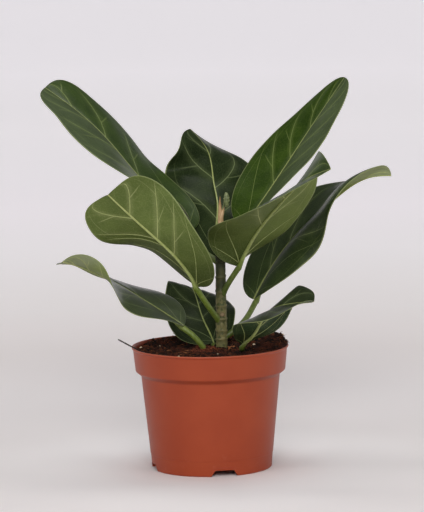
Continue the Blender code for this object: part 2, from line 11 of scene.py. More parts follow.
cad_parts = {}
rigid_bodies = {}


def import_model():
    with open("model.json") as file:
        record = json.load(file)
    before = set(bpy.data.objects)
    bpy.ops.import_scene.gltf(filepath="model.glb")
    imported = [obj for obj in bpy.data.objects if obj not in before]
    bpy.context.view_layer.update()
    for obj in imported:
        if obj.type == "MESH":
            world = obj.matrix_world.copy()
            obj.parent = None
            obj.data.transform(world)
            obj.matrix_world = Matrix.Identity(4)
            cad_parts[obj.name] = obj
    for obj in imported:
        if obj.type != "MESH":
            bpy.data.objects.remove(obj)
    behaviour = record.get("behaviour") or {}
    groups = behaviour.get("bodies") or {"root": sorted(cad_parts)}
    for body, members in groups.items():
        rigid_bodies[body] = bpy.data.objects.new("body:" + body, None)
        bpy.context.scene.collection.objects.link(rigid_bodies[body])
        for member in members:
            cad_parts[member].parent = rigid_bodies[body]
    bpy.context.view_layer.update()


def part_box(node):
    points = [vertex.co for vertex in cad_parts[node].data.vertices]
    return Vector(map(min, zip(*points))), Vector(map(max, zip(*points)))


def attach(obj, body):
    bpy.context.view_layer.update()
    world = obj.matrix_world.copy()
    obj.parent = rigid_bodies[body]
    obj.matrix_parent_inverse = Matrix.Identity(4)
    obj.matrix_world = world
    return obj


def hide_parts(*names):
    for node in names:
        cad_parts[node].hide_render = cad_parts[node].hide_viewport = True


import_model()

# Studio
# A round sweep of pale paper that is open on all sides and glows softly further out; close round the pot it
# glows faintly too, painted light that lifts the pot's shadow on the floor. Soft lights stand in front, at
# both sides and above and behind, and a long lens looks from a little above the pot's rim.
MM = 0.001
pot_low, pot_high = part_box("pot")
POT_AXIS = Vector(((pot_low.x + pot_high.x) / 2, (pot_low.y + pot_high.y) / 2, 0))
CAMERA_PLACE = POT_AXIS + Vector((2.76 * MM, -2.5, 475.6 * MM))
CAMERA_PITCH = math.radians(-7.056)
CAMERA_ROLL = math.radians(-0.999)
FOCAL_PIXELS = 3231.7
PHOTO_HEIGHT = 512
SENSOR = 24.0


class Wire:
    """One socket of a node tree. Arithmetic on it adds the Math nodes."""

    def __init__(self, nodes, socket):
        self.nodes = nodes
        self.socket = socket

    def math(self, operation, *operands):
        return self.nodes.wire("ShaderNodeMath", dict(enumerate(operands)), operation=operation)

    def __add__(self, other):
        return self.math("ADD", self, other)

    __radd__ = __add__

    def __sub__(self, other):
        return self.math("SUBTRACT", self, other)

    def __rsub__(self, other):
        return self.math("SUBTRACT", other, self)

    def __mul__(self, other):
        return self.math("MULTIPLY", self, other)

    def __truediv__(self, other):
        return self.math("DIVIDE", self, other)

    def __abs__(self):
        return self.math("ABSOLUTE", self)

    def cycle(self):
        """The part after the whole number: a saw from 0 to 1."""
        return self.math("FRACT", self)

    def larger(self, other):
        return self.math("MAXIMUM", self, other)

    def rise(self, low, high):
        """0 below low, 1 above high, smooth between."""
        inputs = {"Value": self, "From Min": low, "From Max": high}
        return self.nodes.wire("ShaderNodeMapRange", inputs, interpolation_type="SMOOTHSTEP")

    def fall(self, low, high):
        """1 below low, 0 above high, smooth between."""
        return 1 - self.rise(low, high)

    def line(self, core, edge):
        """1 where the value is near 0, and 0 beyond the edge on both sides."""
        return abs(self).fall(core, edge)


class Nodes:
    """A node tree, and the one way its nodes are made and joined."""

    def __init__(self, tree):
        self.tree = tree

    def node(self, kind, inputs=None, **settings):
        made = self.tree.nodes.new(kind)
        for name, value in settings.items():
            setattr(made, name, value)
        for key, value in (inputs or {}).items():
            if isinstance(value, Wire):
                self.tree.links.new(value.socket, made.inputs[key])
            else:
                made.inputs[key].default_value = value
        return made

    def wire(self, kind, inputs=None, output=0, **settings):
        return Wire(self, self.node(kind, inputs, **settings).outputs[output])


class Paint(Nodes):
    """A procedural material, made with its shader's fixed values."""

    def __init__(self, name, **fixed):
        self.material = bpy.data.materials.new(name)
        self.material.use_nodes = True
        super().__init__(self.material.node_tree)
        self.shader = self.tree.nodes["Principled BSDF"]
        for socket, value in fixed.items():
            self.shader.inputs[socket.replace("_", " ")].default_value = value

    def place(self):
        return self.wire("ShaderNodeTexCoord", output="Object")

    def uv(self, name):
        return self.wire("ShaderNodeUVMap", uv_map=name)

    def parts(self, vector):
        return [Wire(self, socket) for socket in self.node("ShaderNodeSeparateXYZ", {0: vector}).outputs]

    def noise(self, vector, size, detail=3.0, rough=0.5):
        """Soft noise from 0 to 1 with lumps of that size in metres."""
        inputs = {"Vector": vector, "Scale": 1 / size, "Detail": detail, "Roughness": rough}
        return self.wire("ShaderNodeTexNoise", inputs)

    def cells(self, vector, size):
        """Distance from the edges of irregular cells of that size."""
        inputs = {"Vector": vector, "Scale": 1 / size}
        return self.wire("ShaderNodeTexVoronoi", inputs, feature="DISTANCE_TO_EDGE")

    def stretched(self, vector, scale):
        return self.wire("ShaderNodeVectorMath", {0: vector, 1: scale}, operation="MULTIPLY")

    def spot(self, vector, middle, radii):
        """Distance from a place, counted in the radii of an egg shape around it."""
        away = self.wire("ShaderNodeVectorMath", {0: vector, 1: middle}, operation="SUBTRACT")
        away = self.stretched(away, tuple(1 / radius for radius in radii))
        return self.wire("ShaderNodeVectorMath", {0: away}, output=1, operation="LENGTH")

    def ramp(self, factor, stops):
        made = self.node("ShaderNodeValToRGB", {0: factor})
        marks = made.color_ramp.elements
        marks.remove(marks[1])
        for index, (place, tone) in enumerate(stops):
            mark = marks.new(place) if index else marks[0]
            mark.position = place
            mark.color = (*tone, 1)
        return Wire(self, made.outputs[0])

    def mixed(self, factor, first, second):
        """First colour where the factor is 0, second where it is 1."""
        first, second = ((*c, 1) if isinstance(c, tuple) else c for c in (first, second))
        return self.wire("ShaderNodeMix", {0: factor, 6: first, 7: second}, output=2, data_type="RGBA")

    def layered(self, shade, *layers):
        """A colour with others laid over it in turn, each as strong as its factor says."""
        for factor, tone in layers:
            shade = self.mixed(factor, shade, tone)
        return shade

    def finish(self, shade, roughness, relief, depth, strength):
        """Join the colour, the roughness if it varies and the surface's relief to the shader."""
        bump = self.wire("ShaderNodeBump", {"Height": relief, "Distance": depth, "Strength": strength})
        for socket, value in (("Base Color", shade), ("Roughness", roughness), ("Normal", bump)):
            if value is not None:
                self.tree.links.new(value.socket, self.shader.inputs[socket])
        return self.material


def colour(red, green, blue):
    """A colour as seen on a screen, 0 to 255, turned into the light values that shaders use."""
    shares = (red / 255, green / 255, blue / 255)
    return tuple(c / 12.92 if c <= 0.04045 else ((c + 0.055) / 1.055) ** 2.4 for c in shares)


scene = bpy.context.scene
scene.view_settings.view_transform = "Standard"
scene.view_settings.look = "None"


def placed(name, data):
    """A new object in the scene."""
    made = bpy.data.objects.new(name, data)
    scene.collection.objects.link(made)
    return made


camera_data = bpy.data.cameras.new("camera")
camera_data.sensor_fit = "AUTO"
camera_data.sensor_width = SENSOR
camera_data.lens = FOCAL_PIXELS / PHOTO_HEIGHT * SENSOR
camera_data.clip_end = 20
camera = placed("camera", camera_data)
lean = Matrix.Rotation(math.pi / 2 + CAMERA_PITCH, 4, "X") @ Matrix.Rotation(CAMERA_ROLL, 4, "Z")
camera.matrix_world = Matrix.Translation(CAMERA_PLACE) @ lean
scene.camera = camera


def mesh_of(name, form):
    """The mesh of a finished bmesh, which is freed."""
    mesh = bpy.data.meshes.new(name)
    form.to_mesh(mesh)
    form.free()
    return mesh


def ring(reach, z, sides):
    """Points on a level circle around the upright axis."""
    turns = [2 * math.pi * j / sides for j in range(sides)]
    return [(reach * math.cos(turn), reach * math.sin(turn), z) for turn in turns]


def rings_mesh(name, rings, hub=None, closed=True):
    """A smooth skin over rings of points. It starts at a hub, or flat, and ends flat if it is closed."""
    form = bmesh.new()
    middle = None if hub is None else form.verts.new(hub)
    rows = [[form.verts.new(spot) for spot in spots] for spots in rings]
    for j in range(len(rows[0])):
        k = (j + 1) % len(rows[0])
        if middle:
            form.faces.new((middle, rows[0][j], rows[0][k]))
        for inner, outer in zip(rows, rows[1:]):
            form.faces.new((inner[j], outer[j], outer[k], inner[k]))
    if not middle:
        form.faces.new(rows[0])
    if closed:
        form.faces.new(rows[-1][::-1])
    mesh = mesh_of(name, form)
    mesh.shade_smooth()
    return mesh


FLOOR_MIDDLE = 0.4
FLOOR_REACH = 4.7
SWEEP_BEND = 0.8
SWEEP_TOP = 1.7
SWEEP_SIDES = 128
BEND_STEPS = 16
sweep_line = [(FLOOR_MIDDLE, 0.0), (FLOOR_REACH, 0.0)]
for step in range(1, BEND_STEPS + 1):
    turn = step / BEND_STEPS * math.pi / 2
    sweep_line.append((FLOOR_REACH + SWEEP_BEND * math.sin(turn), SWEEP_BEND * (1 - math.cos(turn))))
sweep_line.append((FLOOR_REACH + SWEEP_BEND, SWEEP_TOP))
sweep_rings = [[POT_AXIS + Vector(spot) for spot in ring(reach, z, SWEEP_SIDES)] for reach, z in sweep_line]
sweep_mesh = rings_mesh("paper_sweep", sweep_rings, hub=POT_AXIS, closed=False)
sweep = placed("paper_sweep", sweep_mesh)
paper_colour = (*colour(246, 241, 241), 1)
paper = Paint(
    "pale paper", Roughness=0.9, Specular_IOR_Level=0.1, Base_Color=paper_colour, Emission_Strength=1.0
)
GLOW_REACH = 6.0
# The first stops, close round the pot, are painted light: a faint glow that lifts the pot's shadow on the
# floor.
GLOW = (
    (0.06, (0, 0, 0)), (0.075, (0.065, 0.075, 0.08)), (0.11, (0.065, 0.075, 0.08)), (0.2, (0, 0, 0)),
    (0.4, (0, 0, 0)), (0.63, (0.03, 0.022, 0.016)), (0.98, (0.147, 0.142, 0.14)),
    (1.42, (0.29, 0.285, 0.295)), (1.87, (0.395, 0.375, 0.4)), (2.43, (0.445, 0.43, 0.45)),
    (3.16, (0.485, 0.47, 0.485)), (4.2, (0.45, 0.44, 0.455)), (5.5, (0.355, 0.355, 0.375)),
)
away = paper.spot(paper.place(), POT_AXIS, (GLOW_REACH, GLOW_REACH, GLOW_REACH))
glow = paper.ramp(away, [(reach / GLOW_REACH, tone) for reach, tone in GLOW])
paper.tree.links.new(glow.socket, paper.shader.inputs["Emission Color"])
sweep_mesh.materials.append(paper.material)

world = bpy.data.worlds.new("studio")
world.use_nodes = True
world.node_tree.nodes["Background"].inputs["Color"].default_value = (*colour(238, 238, 244), 1)
world.node_tree.nodes["Background"].inputs["Strength"].default_value = 0.12
scene.world = world


def soft_light(name, place, aim, size, power, tint, spread=180):
    light = bpy.data.lights.new(name, "AREA")
    light.shape = "RECTANGLE"
    light.size, light.size_y = size
    light.energy = power
    light.color = tint
    light.spread = math.radians(spread)
    lamp = placed(name, light)
    lamp.location = POT_AXIS + Vector(place)
    direction = Vector(aim) - Vector(place)
    lamp.rotation_euler = direction.to_track_quat("-Z", "Y").to_euler()


soft_light("back_above", (0.0, 0.35, 2.1), (0, -0.35, 0.1), (1.8, 0.7), 15, (1.0, 0.99, 0.985))
soft_light("front_above", (0.0, -4.1, 2.25), (0, 0, 0.25), (2.7, 1.2), 9.6, (1.0, 0.985, 0.965), 50)
soft_light("front_left", (-1.7, -1.5, 1.6), (0, 0, 0.15), (1.2, 1.4), 10, (1.0, 0.985, 0.97))
soft_light("front_right", (1.7, -1.5, 1.6), (0, 0, 0.15), (1.2, 1.4), 10, (1.0, 0.985, 0.97))


# Pot
# A thin-walled nursery pot of terracotta-coloured plastic, moulded in one piece: a tall rim band with a
# rolled lip, a shoulder, a tapering wall, a foot ring with drain notches, and a floor with drain holes.
RIM_RADIUS = 60.3 * MM
POT_HEIGHT = 96 * MM
LIP_RADIUS = 61.3 * MM
LIP_HEIGHT = 2.2 * MM
BAND_HEIGHT = 19 * MM
BAND_FOOT_RADIUS = 58.6 * MM
SHOULDER_HEIGHT = 3.4 * MM
WALL_TOP_RADIUS = 54.3 * MM
FOOT_RADIUS = 46.9 * MM
POT_WALL = 1.4 * MM
FOOT_WIDTH = 2.4 * MM
FLOOR_TOP = 7.2 * MM
FLOOR_THICKNESS = 1.6 * MM
EDGE_ROUND = 0.7 * MM
STEP_HEIGHT = 12 * MM
STEP_DEPTH = 0.22 * MM
NOTCH_COUNT = 4
NOTCH_TURN = math.radians(-78)
NOTCH_FOOT_WIDTH = 21 * MM
NOTCH_TOP_WIDTH = 15 * MM
NOTCH_HEIGHT = 5 * MM
NOTCH_ROUND = 0.9 * MM
HOLE_RADIUS = 4.5 * MM
HOLE_RING = 28 * MM
HOLE_SIDES = 40
POT_SIDES = 160


def added(name, mesh, slot, *nodes):
    """Place a finished mesh, measured from the pot's axis, as a piece that stands for those nodes."""
    mesh.transform(Matrix.Translation(POT_AXIS))
    mesh.update()
    piece = placed(name, mesh)
    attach(piece, "root")
    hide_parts(*nodes)


def evaluated_mesh(obj):
    """The object's final mesh. The object and its modifiers are removed."""
    graph = bpy.context.evaluated_depsgraph_get()
    mesh = bpy.data.meshes.new_from_object(obj.evaluated_get(graph), depsgraph=graph)
    bpy.data.objects.remove(obj, do_unlink=True)
    return mesh


def rounded(points, turns=5):
    """A profile in which each corner that names a radius becomes an arc of short steps."""
    line = []
    for i, (x, z, radius) in enumerate(points):
        here = np.array((x, z))
        if radius == 0 or i in (0, len(points) - 1):
            line.append((x, z))
            continue
        before = np.array(points[i - 1][:2]) - here
        after = np.array(points[i + 1][:2]) - here
        reach = min(radius, 0.45 * np.linalg.norm(before), 0.45 * np.linalg.norm(after))
        start = here + before / np.linalg.norm(before) * reach
        end = here + after / np.linalg.norm(after) * reach
        for step in range(turns + 1):
            t = step / turns
            line.append(tuple((1 - t) ** 2 * start + 2 * t * (1 - t) * here + t**2 * end))
    return line


band_foot = POT_HEIGHT - BAND_HEIGHT
wall_top = band_foot - SHOULDER_HEIGHT
wall_slope = (WALL_TOP_RADIUS - FOOT_RADIUS) / wall_top
pot_profile = rounded(
    [
        (0, FLOOR_TOP, 0),
        (FOOT_RADIUS + wall_slope * FLOOR_TOP - POT_WALL, FLOOR_TOP, 3 * EDGE_ROUND),
        (WALL_TOP_RADIUS - POT_WALL, wall_top + 0.5 * POT_WALL, 2 * EDGE_ROUND),
        (BAND_FOOT_RADIUS - POT_WALL, band_foot + POT_WALL, 2 * EDGE_ROUND),
        (RIM_RADIUS - POT_WALL, POT_HEIGHT - LIP_HEIGHT, EDGE_ROUND),
        (LIP_RADIUS - POT_WALL, POT_HEIGHT, 0.9 * EDGE_ROUND),
        (LIP_RADIUS, POT_HEIGHT, 0.9 * EDGE_ROUND),
        (LIP_RADIUS, POT_HEIGHT - 0.6 * LIP_HEIGHT, 0.6 * EDGE_ROUND),
        (RIM_RADIUS, POT_HEIGHT - LIP_HEIGHT, 0.6 * EDGE_ROUND),
        (BAND_FOOT_RADIUS, band_foot, 1.2 * EDGE_ROUND),
        (WALL_TOP_RADIUS, wall_top, 1.5 * EDGE_ROUND),
        (FOOT_RADIUS + wall_slope * STEP_HEIGHT, STEP_HEIGHT, EDGE_ROUND),
        (FOOT_RADIUS + wall_slope * STEP_HEIGHT - STEP_DEPTH, STEP_HEIGHT - STEP_DEPTH, EDGE_ROUND),
        (FOOT_RADIUS, 0, 1.6 * EDGE_ROUND),
        (FOOT_RADIUS - FOOT_WIDTH, 0, EDGE_ROUND),
        (FOOT_RADIUS - FOOT_WIDTH, FLOOR_TOP - FLOOR_THICKNESS, EDGE_ROUND),
        (0, FLOOR_TOP - FLOOR_THICKNESS, 0),
    ]
)
pot_mesh = bpy.data.meshes.new("pot_profile")
profile_edges = [(i, i + 1) for i in range(len(pot_profile) - 1)]
pot_mesh.from_pydata([(x, 0, z) for x, z in pot_profile], profile_edges, [])
pot_form = placed("pot_form", pot_mesh)
turning = pot_form.modifiers.new("turn", "SCREW")
turning.steps = turning.render_steps = POT_SIDES
turning.use_merge_vertices = True
turning.merge_threshold = 0.01 * MM

drain_cutters = bpy.data.collections.new("drain_cutters")
scene.collection.children.link(drain_cutters)
for i in range(NOTCH_COUNT):
    notch = bmesh.new()
    bmesh.ops.create_cube(notch, size=1)
    for vert in notch.verts:
        low = vert.co.z < 0
        flare = (NOTCH_FOOT_WIDTH - NOTCH_TOP_WIDTH) / NOTCH_HEIGHT * MM if low else 0
        vert.co.y *= (NOTCH_FOOT_WIDTH if low else NOTCH_TOP_WIDTH) + flare
        vert.co.z = -MM if low else NOTCH_HEIGHT
        vert.co.x = FOOT_RADIUS + vert.co.x * 4 * FOOT_WIDTH
    top_edges = [edge for edge in notch.edges if all(vert.co.z > 0 for vert in edge.verts)]
    side_edges = [edge for edge in top_edges if abs(edge.verts[0].co.y - edge.verts[1].co.y) < MM]
    bmesh.ops.bevel(notch, geom=side_edges, offset=NOTCH_ROUND, segments=4, affect="EDGES", profile=0.5)
    notch.transform(Matrix.Rotation(NOTCH_TURN + i * 2 * math.pi / NOTCH_COUNT, 4, "Z"))
    drain_cutters.objects.link(bpy.data.objects.new("notch", mesh_of("notch", notch)))
hole_turns = [NOTCH_TURN + (i + 0.5) * 2 * math.pi / NOTCH_COUNT for i in range(NOTCH_COUNT)]
hole_places = [(HOLE_RING * math.cos(turn), HOLE_RING * math.sin(turn)) for turn in hole_turns] + [(0, 0)]
for x, y in hole_places:
    hole = bmesh.new()
    bmesh.ops.create_cone(
        hole, cap_ends=True, segments=HOLE_SIDES, radius1=HOLE_RADIUS, radius2=HOLE_RADIUS,
        depth=4 * FLOOR_THICKNESS,
    )
    hole.transform(Matrix.Translation((x, y, FLOOR_TOP)))
    drain_cutters.objects.link(bpy.data.objects.new("hole", mesh_of("hole", hole)))
draining = pot_form.modifiers.new("drainage", "BOOLEAN")
draining.operand_type = "COLLECTION"
draining.collection = drain_cutters
pot_mesh = evaluated_mesh(pot_form)
for cutter in list(drain_cutters.objects):
    bpy.data.objects.remove(cutter, do_unlink=True)
bpy.data.collections.remove(drain_cutters)

plastic = Paint("terracotta plastic", Roughness=0.42, Specular_IOR_Level=0.36)
where = plastic.place()
height = plastic.parts(where)[2]
cloud = plastic.noise(where, 26 * MM, 4)
grain = plastic.noise(where, 0.9 * MM, 2)
# Painted highlight: the top of the lip is painted lighter, where light catches it.
lip_highlight = height.rise(POT_HEIGHT - 1.1 * MM, POT_HEIGHT - 0.3 * MM)
# Painted shade: the shoulder under the rim band is painted darker, where the band shades it.
shoulder_shade = height.rise(wall_top - 1.6 * MM, wall_top + 1.2 * MM)
shoulder_shade = shoulder_shade * height.fall(band_foot - 1.2 * MM, band_foot + 0.6 * MM)
dust = plastic.noise(where, 5 * MM, 5, 0.6).rise(0.58, 0.78) * height.fall(4 * MM, 26 * MM) * 0.22
shade = plastic.layered(
    plastic.mixed(cloud.rise(0.3, 0.72), colour(154, 62, 28), colour(148, 57, 24)),
    (lip_highlight * 0.35, colour(196, 112, 88)),
    (shoulder_shade * 0.36, colour(112, 38, 20)),
    (dust, colour(186, 120, 98)),
)
pot_mesh.materials.clear()
pot_mesh.materials.append(plastic.finish(shade, 0.4 + cloud * 0.08 + dust * 0.3, grain, 0.04 * MM, 0.25))
pot_mesh.shade_smooth()
pot_mesh.set_sharp_from_angle(angle=math.radians(38))
added("nursery_pot", pot_mesh, "pot_plastic", "pot")


# Leaves
# Thick leathery blades, waxy dark green above and paler beneath, with a pale midrib, a strong pair of veins
# from the base and looping side veins. Each follows its midrib's path (mm), with the blade's roll about it
# and the fold and curl of its halves (degrees). Painted sheen is a grey reflection painted on the left and
# right halves of its top, and painted glare towards the tip of its underside. Stalk shade darkens its stalk
# with painted shade, and a backlit half lightens the left half of its underside with painted light shining
# through it.
LEAVES = {
    "leaf_upper_left": dict(
        path=(
            (8, 0, 161), (-3, 6, 170), (-13, 13, 185), (-43, 22, 216),
            (-75, 34, 253), (-102, 48, 278), (-127, 55, 296),
        ),
        half=(39, 39), blunt=(0.46, 0.36),
        roll=(-9, 0, -1, 4, 25), fold=(34, 4, 12), curl=((12, -10, -10), (14, -10, -19)),
        veins=((0.30, 0.52, 0.72, 0.88), (0.36, 0.61, 0.84)), tint=0.35, under=0.5, sheen=0.5,
        painted_sheen=(0.3, 0.04, 0),
    ),
    "leaf_upper_back": dict(
        path=(
            (8, 0, 146), (8.5, 12, 150), (7.5, 22, 159), (6, 31, 178),
            (8, 46, 200), (5, 69, 219), (1, 82, 241), (-13, 93, 258),
        ),
        half=(39.5, 39), blunt=(0.62, 0.49),
        roll=(-7, -8, -11, -6, -12), fold=(9, -1, -13), curl=((-3, -4, -7), (0, -8, 5)),
        veins=((0.28, 0.62, 0.80), (0.30, 0.54, 0.78)), tint=0.95, under=0.5, sheen=0.1,
    ),
    "leaf_upper_right": dict(
        path=((8.6, 0, 171), (18, 5, 177), (27, 9, 187), (53, 26, 221), (81, 44, 260), (110, 56, 300)),
        half=(37, 37), blunt=(0.46, 0.5),
        roll=(-2, 2, -1, -3, -7), fold=(22, 10, 0), curl=((7, 0, -12), (7, -2, -7)),
        veins=((0.30, 0.47, 0.67, 0.84), (0.34, 0.52, 0.70, 0.86)), tint=0.3, under=0.5, sheen=0.12,
        painted_sheen=(0, 0.34, 0),
    ),
    "leaf_middle_left": dict(
        path=(
            (8.5, 0.5, 113.5), (0, -10.5, 129), (-8, -19, 145),
            (-26, -39, 173), (-53, -55, 200), (-75, -71, 223),
        ),
        half=(34, 34.5), blunt=(0.35, 0.19),
        roll=(9, -1, -24, -50, -46), fold=(6, 12, 17), curl=((11, 3, -11), (8, -9, -30)),
        veins=((0.34, 0.51, 0.78), (0.41, 0.49, 0.74)), tint=0.5, under=0.5,
    ),
    "leaf_middle_right": dict(
        path=(
            (9.5, 0, 133.5), (15, -5, 147), (22, -8, 159), (37, -26, 187),
            (55, -49, 212), (73, -77, 232), (92, -106, 243),
        ),
        half=(37.5, 39.5), blunt=(0.36, 0.64),
        roll=(4, -1, -14, -39, -57), fold=(23, 9, 30), curl=((-5, -30, -24), (19, -10, -5)),
        veins=((0.33, 0.56, 0.78), (0.31, 0.55, 0.77)), tint=0.3, under=0.4, sheen=0.3, reach=0.36, stalk_shade=0.45,
        backlit_half=0.1,
    ),
    "leaf_far_right": dict(
        path=(
            (8, 0, 100), (25, 6, 113), (35, 20, 129), (62, 35, 170),
            (98, 24, 206), (129, 13, 225), (144, 17, 225),
        ),
        half=(40, 37), blunt=(0.63, 0.67),
        roll=(13, -7, -17, 1, 34), fold=(12, 17, 39), curl=((-20, 6, -98), (-47, -88, -106)),
        veins=((0.18, 0.35, 0.56, 0.76), (0.30, 0.50, 0.70, 0.86)), tint=0.7, under=-0.1, sheen=0.4, stalk_shade=0.45,
        painted_sheen=(0.05, 0.05, 0.25),
    ),
    "leaf_lower_left": dict(
        path=(
            (0.5, -8, 86), (-11, -15, 106), (-20, -15, 114), (-45, -12, 131),
            (-72, -16, 149), (-96, -32, 163), (-111, -58, 171),
        ),
        half=(33, 33.5), blunt=(0.56, 0.81),
        roll=(15, 17, 13, 7, -39), fold=(18, 1, 22), curl=((14, -25, 19), (-19, -31, -26)),
        veins=((0.30, 0.50, 0.70, 0.86), (0.34, 0.55, 0.76)), tint=0.7, under=0.1, sheen=0.7,
        painted_sheen=(0.28, 0.28, 0.3),
    ),
    "leaf_lower_back": dict(
        path=(
            (4.5, 6.8, 85), (4, 9.3, 92), (3, 12, 96), (-4, 30, 110),
            (-9, 53, 122), (-14, 73, 132), (-20, 92, 128),
        ),
        half=(27.5, 27.5), blunt=(0.45, 0.56),
        roll=(19, 19, 3, -16, -20), fold=(-6, -2, 3), curl=((-10, -8, -3), (-3, -5, -7)),
        veins=((0.27, 0.48, 0.68, 0.85), (0.33, 0.53, 0.73)), tint=1.0, under=0.7, sheen=0.1, stalk_shade=0.5,
        painted_sheen=(0.05, 0.01, 0),
    ),
    "leaf_lower_right": dict(
        path=(
            (22.5, -14, 86), (24.5, -18, 93), (25.5, -27, 100), (33.5, -44, 111),
            (42, -60, 128), (54, -76, 137), (79, -86, 141),
        ),
        half=(28, 28), blunt=(0.73, 0.39),
        roll=(3, 0, -19, -29, -9), fold=(18, 7, 23), curl=((-43, -37, -35), (-4, -3, -3)),
        veins=((0.30, 0.52, 0.74), (0.36, 0.58, 0.80)), tint=1.0, under=1.35, sheen=0.1, stalk_shade=0.5,
        painted_sheen=(0.06, 0.06, 0),
    ),
}
BLADE_BASE_POINT = 2
BLADE_THICKNESS = 0.55 * MM
MARGIN_THINNING = 0.45
BLADE_ROWS = 150
BLADE_HALF_COLUMNS = 30
COLUMN_CROWDING = 1.3
EDGE_SWEEP = 0.45
EDGE_BEND = 1.4
SIDE_VEIN_REACH = 0.33
SIDE_VEIN_BEND = 1.08
BASE_VEIN_START = 0.02
BASE_VEIN_REACH = 0.55
BASE_VEIN_BEND = 1.2
OUTER_VEIN_REACH = 0.07
QUILTING = 0.3 * MM
MIDRIB_CHANNEL = 0.45 * MM
MARGIN_WAVE = 0.12 * MM


def natural_curve(points):
    """A natural cubic curve through the points. Returns its stations, and places and directions along it."""
    points = np.array(points, float) * MM
    steps = np.linalg.norm(np.diff(points, axis=0), axis=1)
    stations = np.concatenate([[0.0], np.cumsum(steps)])
    count = len(points)
    system = np.eye(count)
    bends = np.zeros((count, 3))
    for i in range(1, count - 1):
        system[i, i - 1 : i + 2] = steps[i - 1], 2 * (steps[i - 1] + steps[i]), steps[i]
        bends[i] = 6 * ((points[i + 1] - points[i]) / steps[i] - (points[i] - points[i - 1]) / steps[i - 1])
    bends = np.linalg.solve(system, bends)

    def read(station):
        station = np.asarray(station, float)
        i = np.clip(np.searchsorted(stations, station, side="right") - 1, 0, len(steps) - 1)
        h = steps[i][..., None]
        left = (stations[i + 1] - station)[..., None]
        right = (station - stations[i])[..., None]
        start = points[i] / h - bends[i] * h / 6
        end = points[i + 1] / h - bends[i + 1] * h / 6
        place = (bends[i] * left**3 + bends[i + 1] * right**3) / (6 * h) + start * left + end * right
        along = (bends[i + 1] * right**2 - bends[i] * left**2) / (2 * h) + end - start
        return place, along / np.linalg.norm(along, axis=-1, keepdims=True)

    return stations, read


def eased(values, along):
    """A smooth curve through values set evenly from base to tip."""
    last = len(values) - 1
    spread = np.array([2 * values[0] - values[1], *values, 2 * values[-1] - values[-2]], float)
    x = np.clip(along, 0, 1) * last
    i = np.minimum(x.astype(int), last - 1)
    f = x - i
    a, b, c, d = (spread[i + k] for k in range(4))
    return 0.5 * (2 * b + (c - a) * f + (2 * a - 5 * b + 4 * c - d) * f**2 + (3 * b - a - 3 * c + d) * f**3)


class Blade:
    """The form of one leaf: where each point of the flat blade lies in space."""

    def __init__(
        self, path, half, blunt, roll, fold, curl, veins, tint, under,
        sheen=0.3, reach=BASE_VEIN_REACH, stalk_shade=0.0, painted_sheen=(0, 0, 0), backlit_half=0.0,
    ):
        stations, self.read = natural_curve(path)
        self.base = stations[BLADE_BASE_POINT]
        self.length = stations[-1] - self.base
        self.half = (half[0] * MM, half[1] * MM)
        self.blunt, self.roll, self.fold, self.curl = blunt, roll, fold, curl
        self.veins, self.reach, self.stalk_shade = veins, reach, stalk_shade
        self.tint, self.under, self.sheen = tint, under, sheen
        self.painted_sheen, self.backlit_half = painted_sheen, backlit_half

    def outline(self, along):
        """Share of the full half width."""
        base, tip = self.blunt
        widest = base / (base + tip)
        along = np.clip(along, 0, 1)
        return (along / widest) ** base * ((1 - along) / (1 - widest)) ** tip

    def share(self, along, out, side):
        """How far out from the midrib towards the margin, 0 to 1."""
        width = np.maximum(self.outline(along) * self.half[side], 1e-6)
        return np.clip(out / width, 0, 1)

    def phase(self, along, share, side):
        """Counts the side veins: a whole number on each of them."""
        starts = self.veins[side]
        gap = (starts[-1] - starts[0]) / (len(starts) - 1)
        known = [starts[0] - gap / 2, *starts, starts[-1] + gap / 2]
        counts = [0.5, *range(1, len(starts) + 1), len(starts) + 0.5]
        return np.interp(along - SIDE_VEIN_REACH * share**SIDE_VEIN_BEND, known, counts)

    def skin(self, along, out, side):
        """Places and upward normals, at shares of the length and distances from the midrib on side 0 or 1."""
        place, forward = self.read(self.base + along * self.length)
        level = np.cross(forward, (0, 0, 1))
        level /= np.linalg.norm(level, axis=-1, keepdims=True)
        upper = np.cross(level, forward)
        roll = np.radians(eased(self.roll, along))[..., None]
        across = level * np.cos(roll) + upper * np.sin(roll)
        normal = upper * np.cos(roll) - level * np.sin(roll)
        fold = np.radians(eased(self.fold, along))
        bend = np.radians(eased(self.curl[side], along)) / self.half[side]
        bend = np.where(np.abs(bend) < 1e-6, 1e-6, bend)
        lean = fold + bend * out
        hand = 1 if side else -1
        sideways = (np.sin(lean) - np.sin(fold)) / bend * hand
        rise = (np.cos(fold) - np.cos(lean)) / bend
        facing = normal * np.cos(lean)[..., None] - across * hand * np.sin(lean)[..., None]
        share = self.share(along, out, side)
        quilt = np.sin(math.pi * self.phase(along, share, side)) ** 2 * np.sin(math.pi * share) * QUILTING
        channel = MIDRIB_CHANNEL * np.exp(-((out / (1.3 * MM)) ** 2)) * (1 - along) ** 0.5
        ripple = np.sin(along * 31 + 2.5 * side + 5 * self.tint) * share**4
        wave = ripple * np.sin(math.pi * along) * MARGIN_WAVE
        relief = (quilt - channel + wave)[..., None]
        return place + across * sideways[..., None] + normal * rise[..., None] + facing * relief, facing


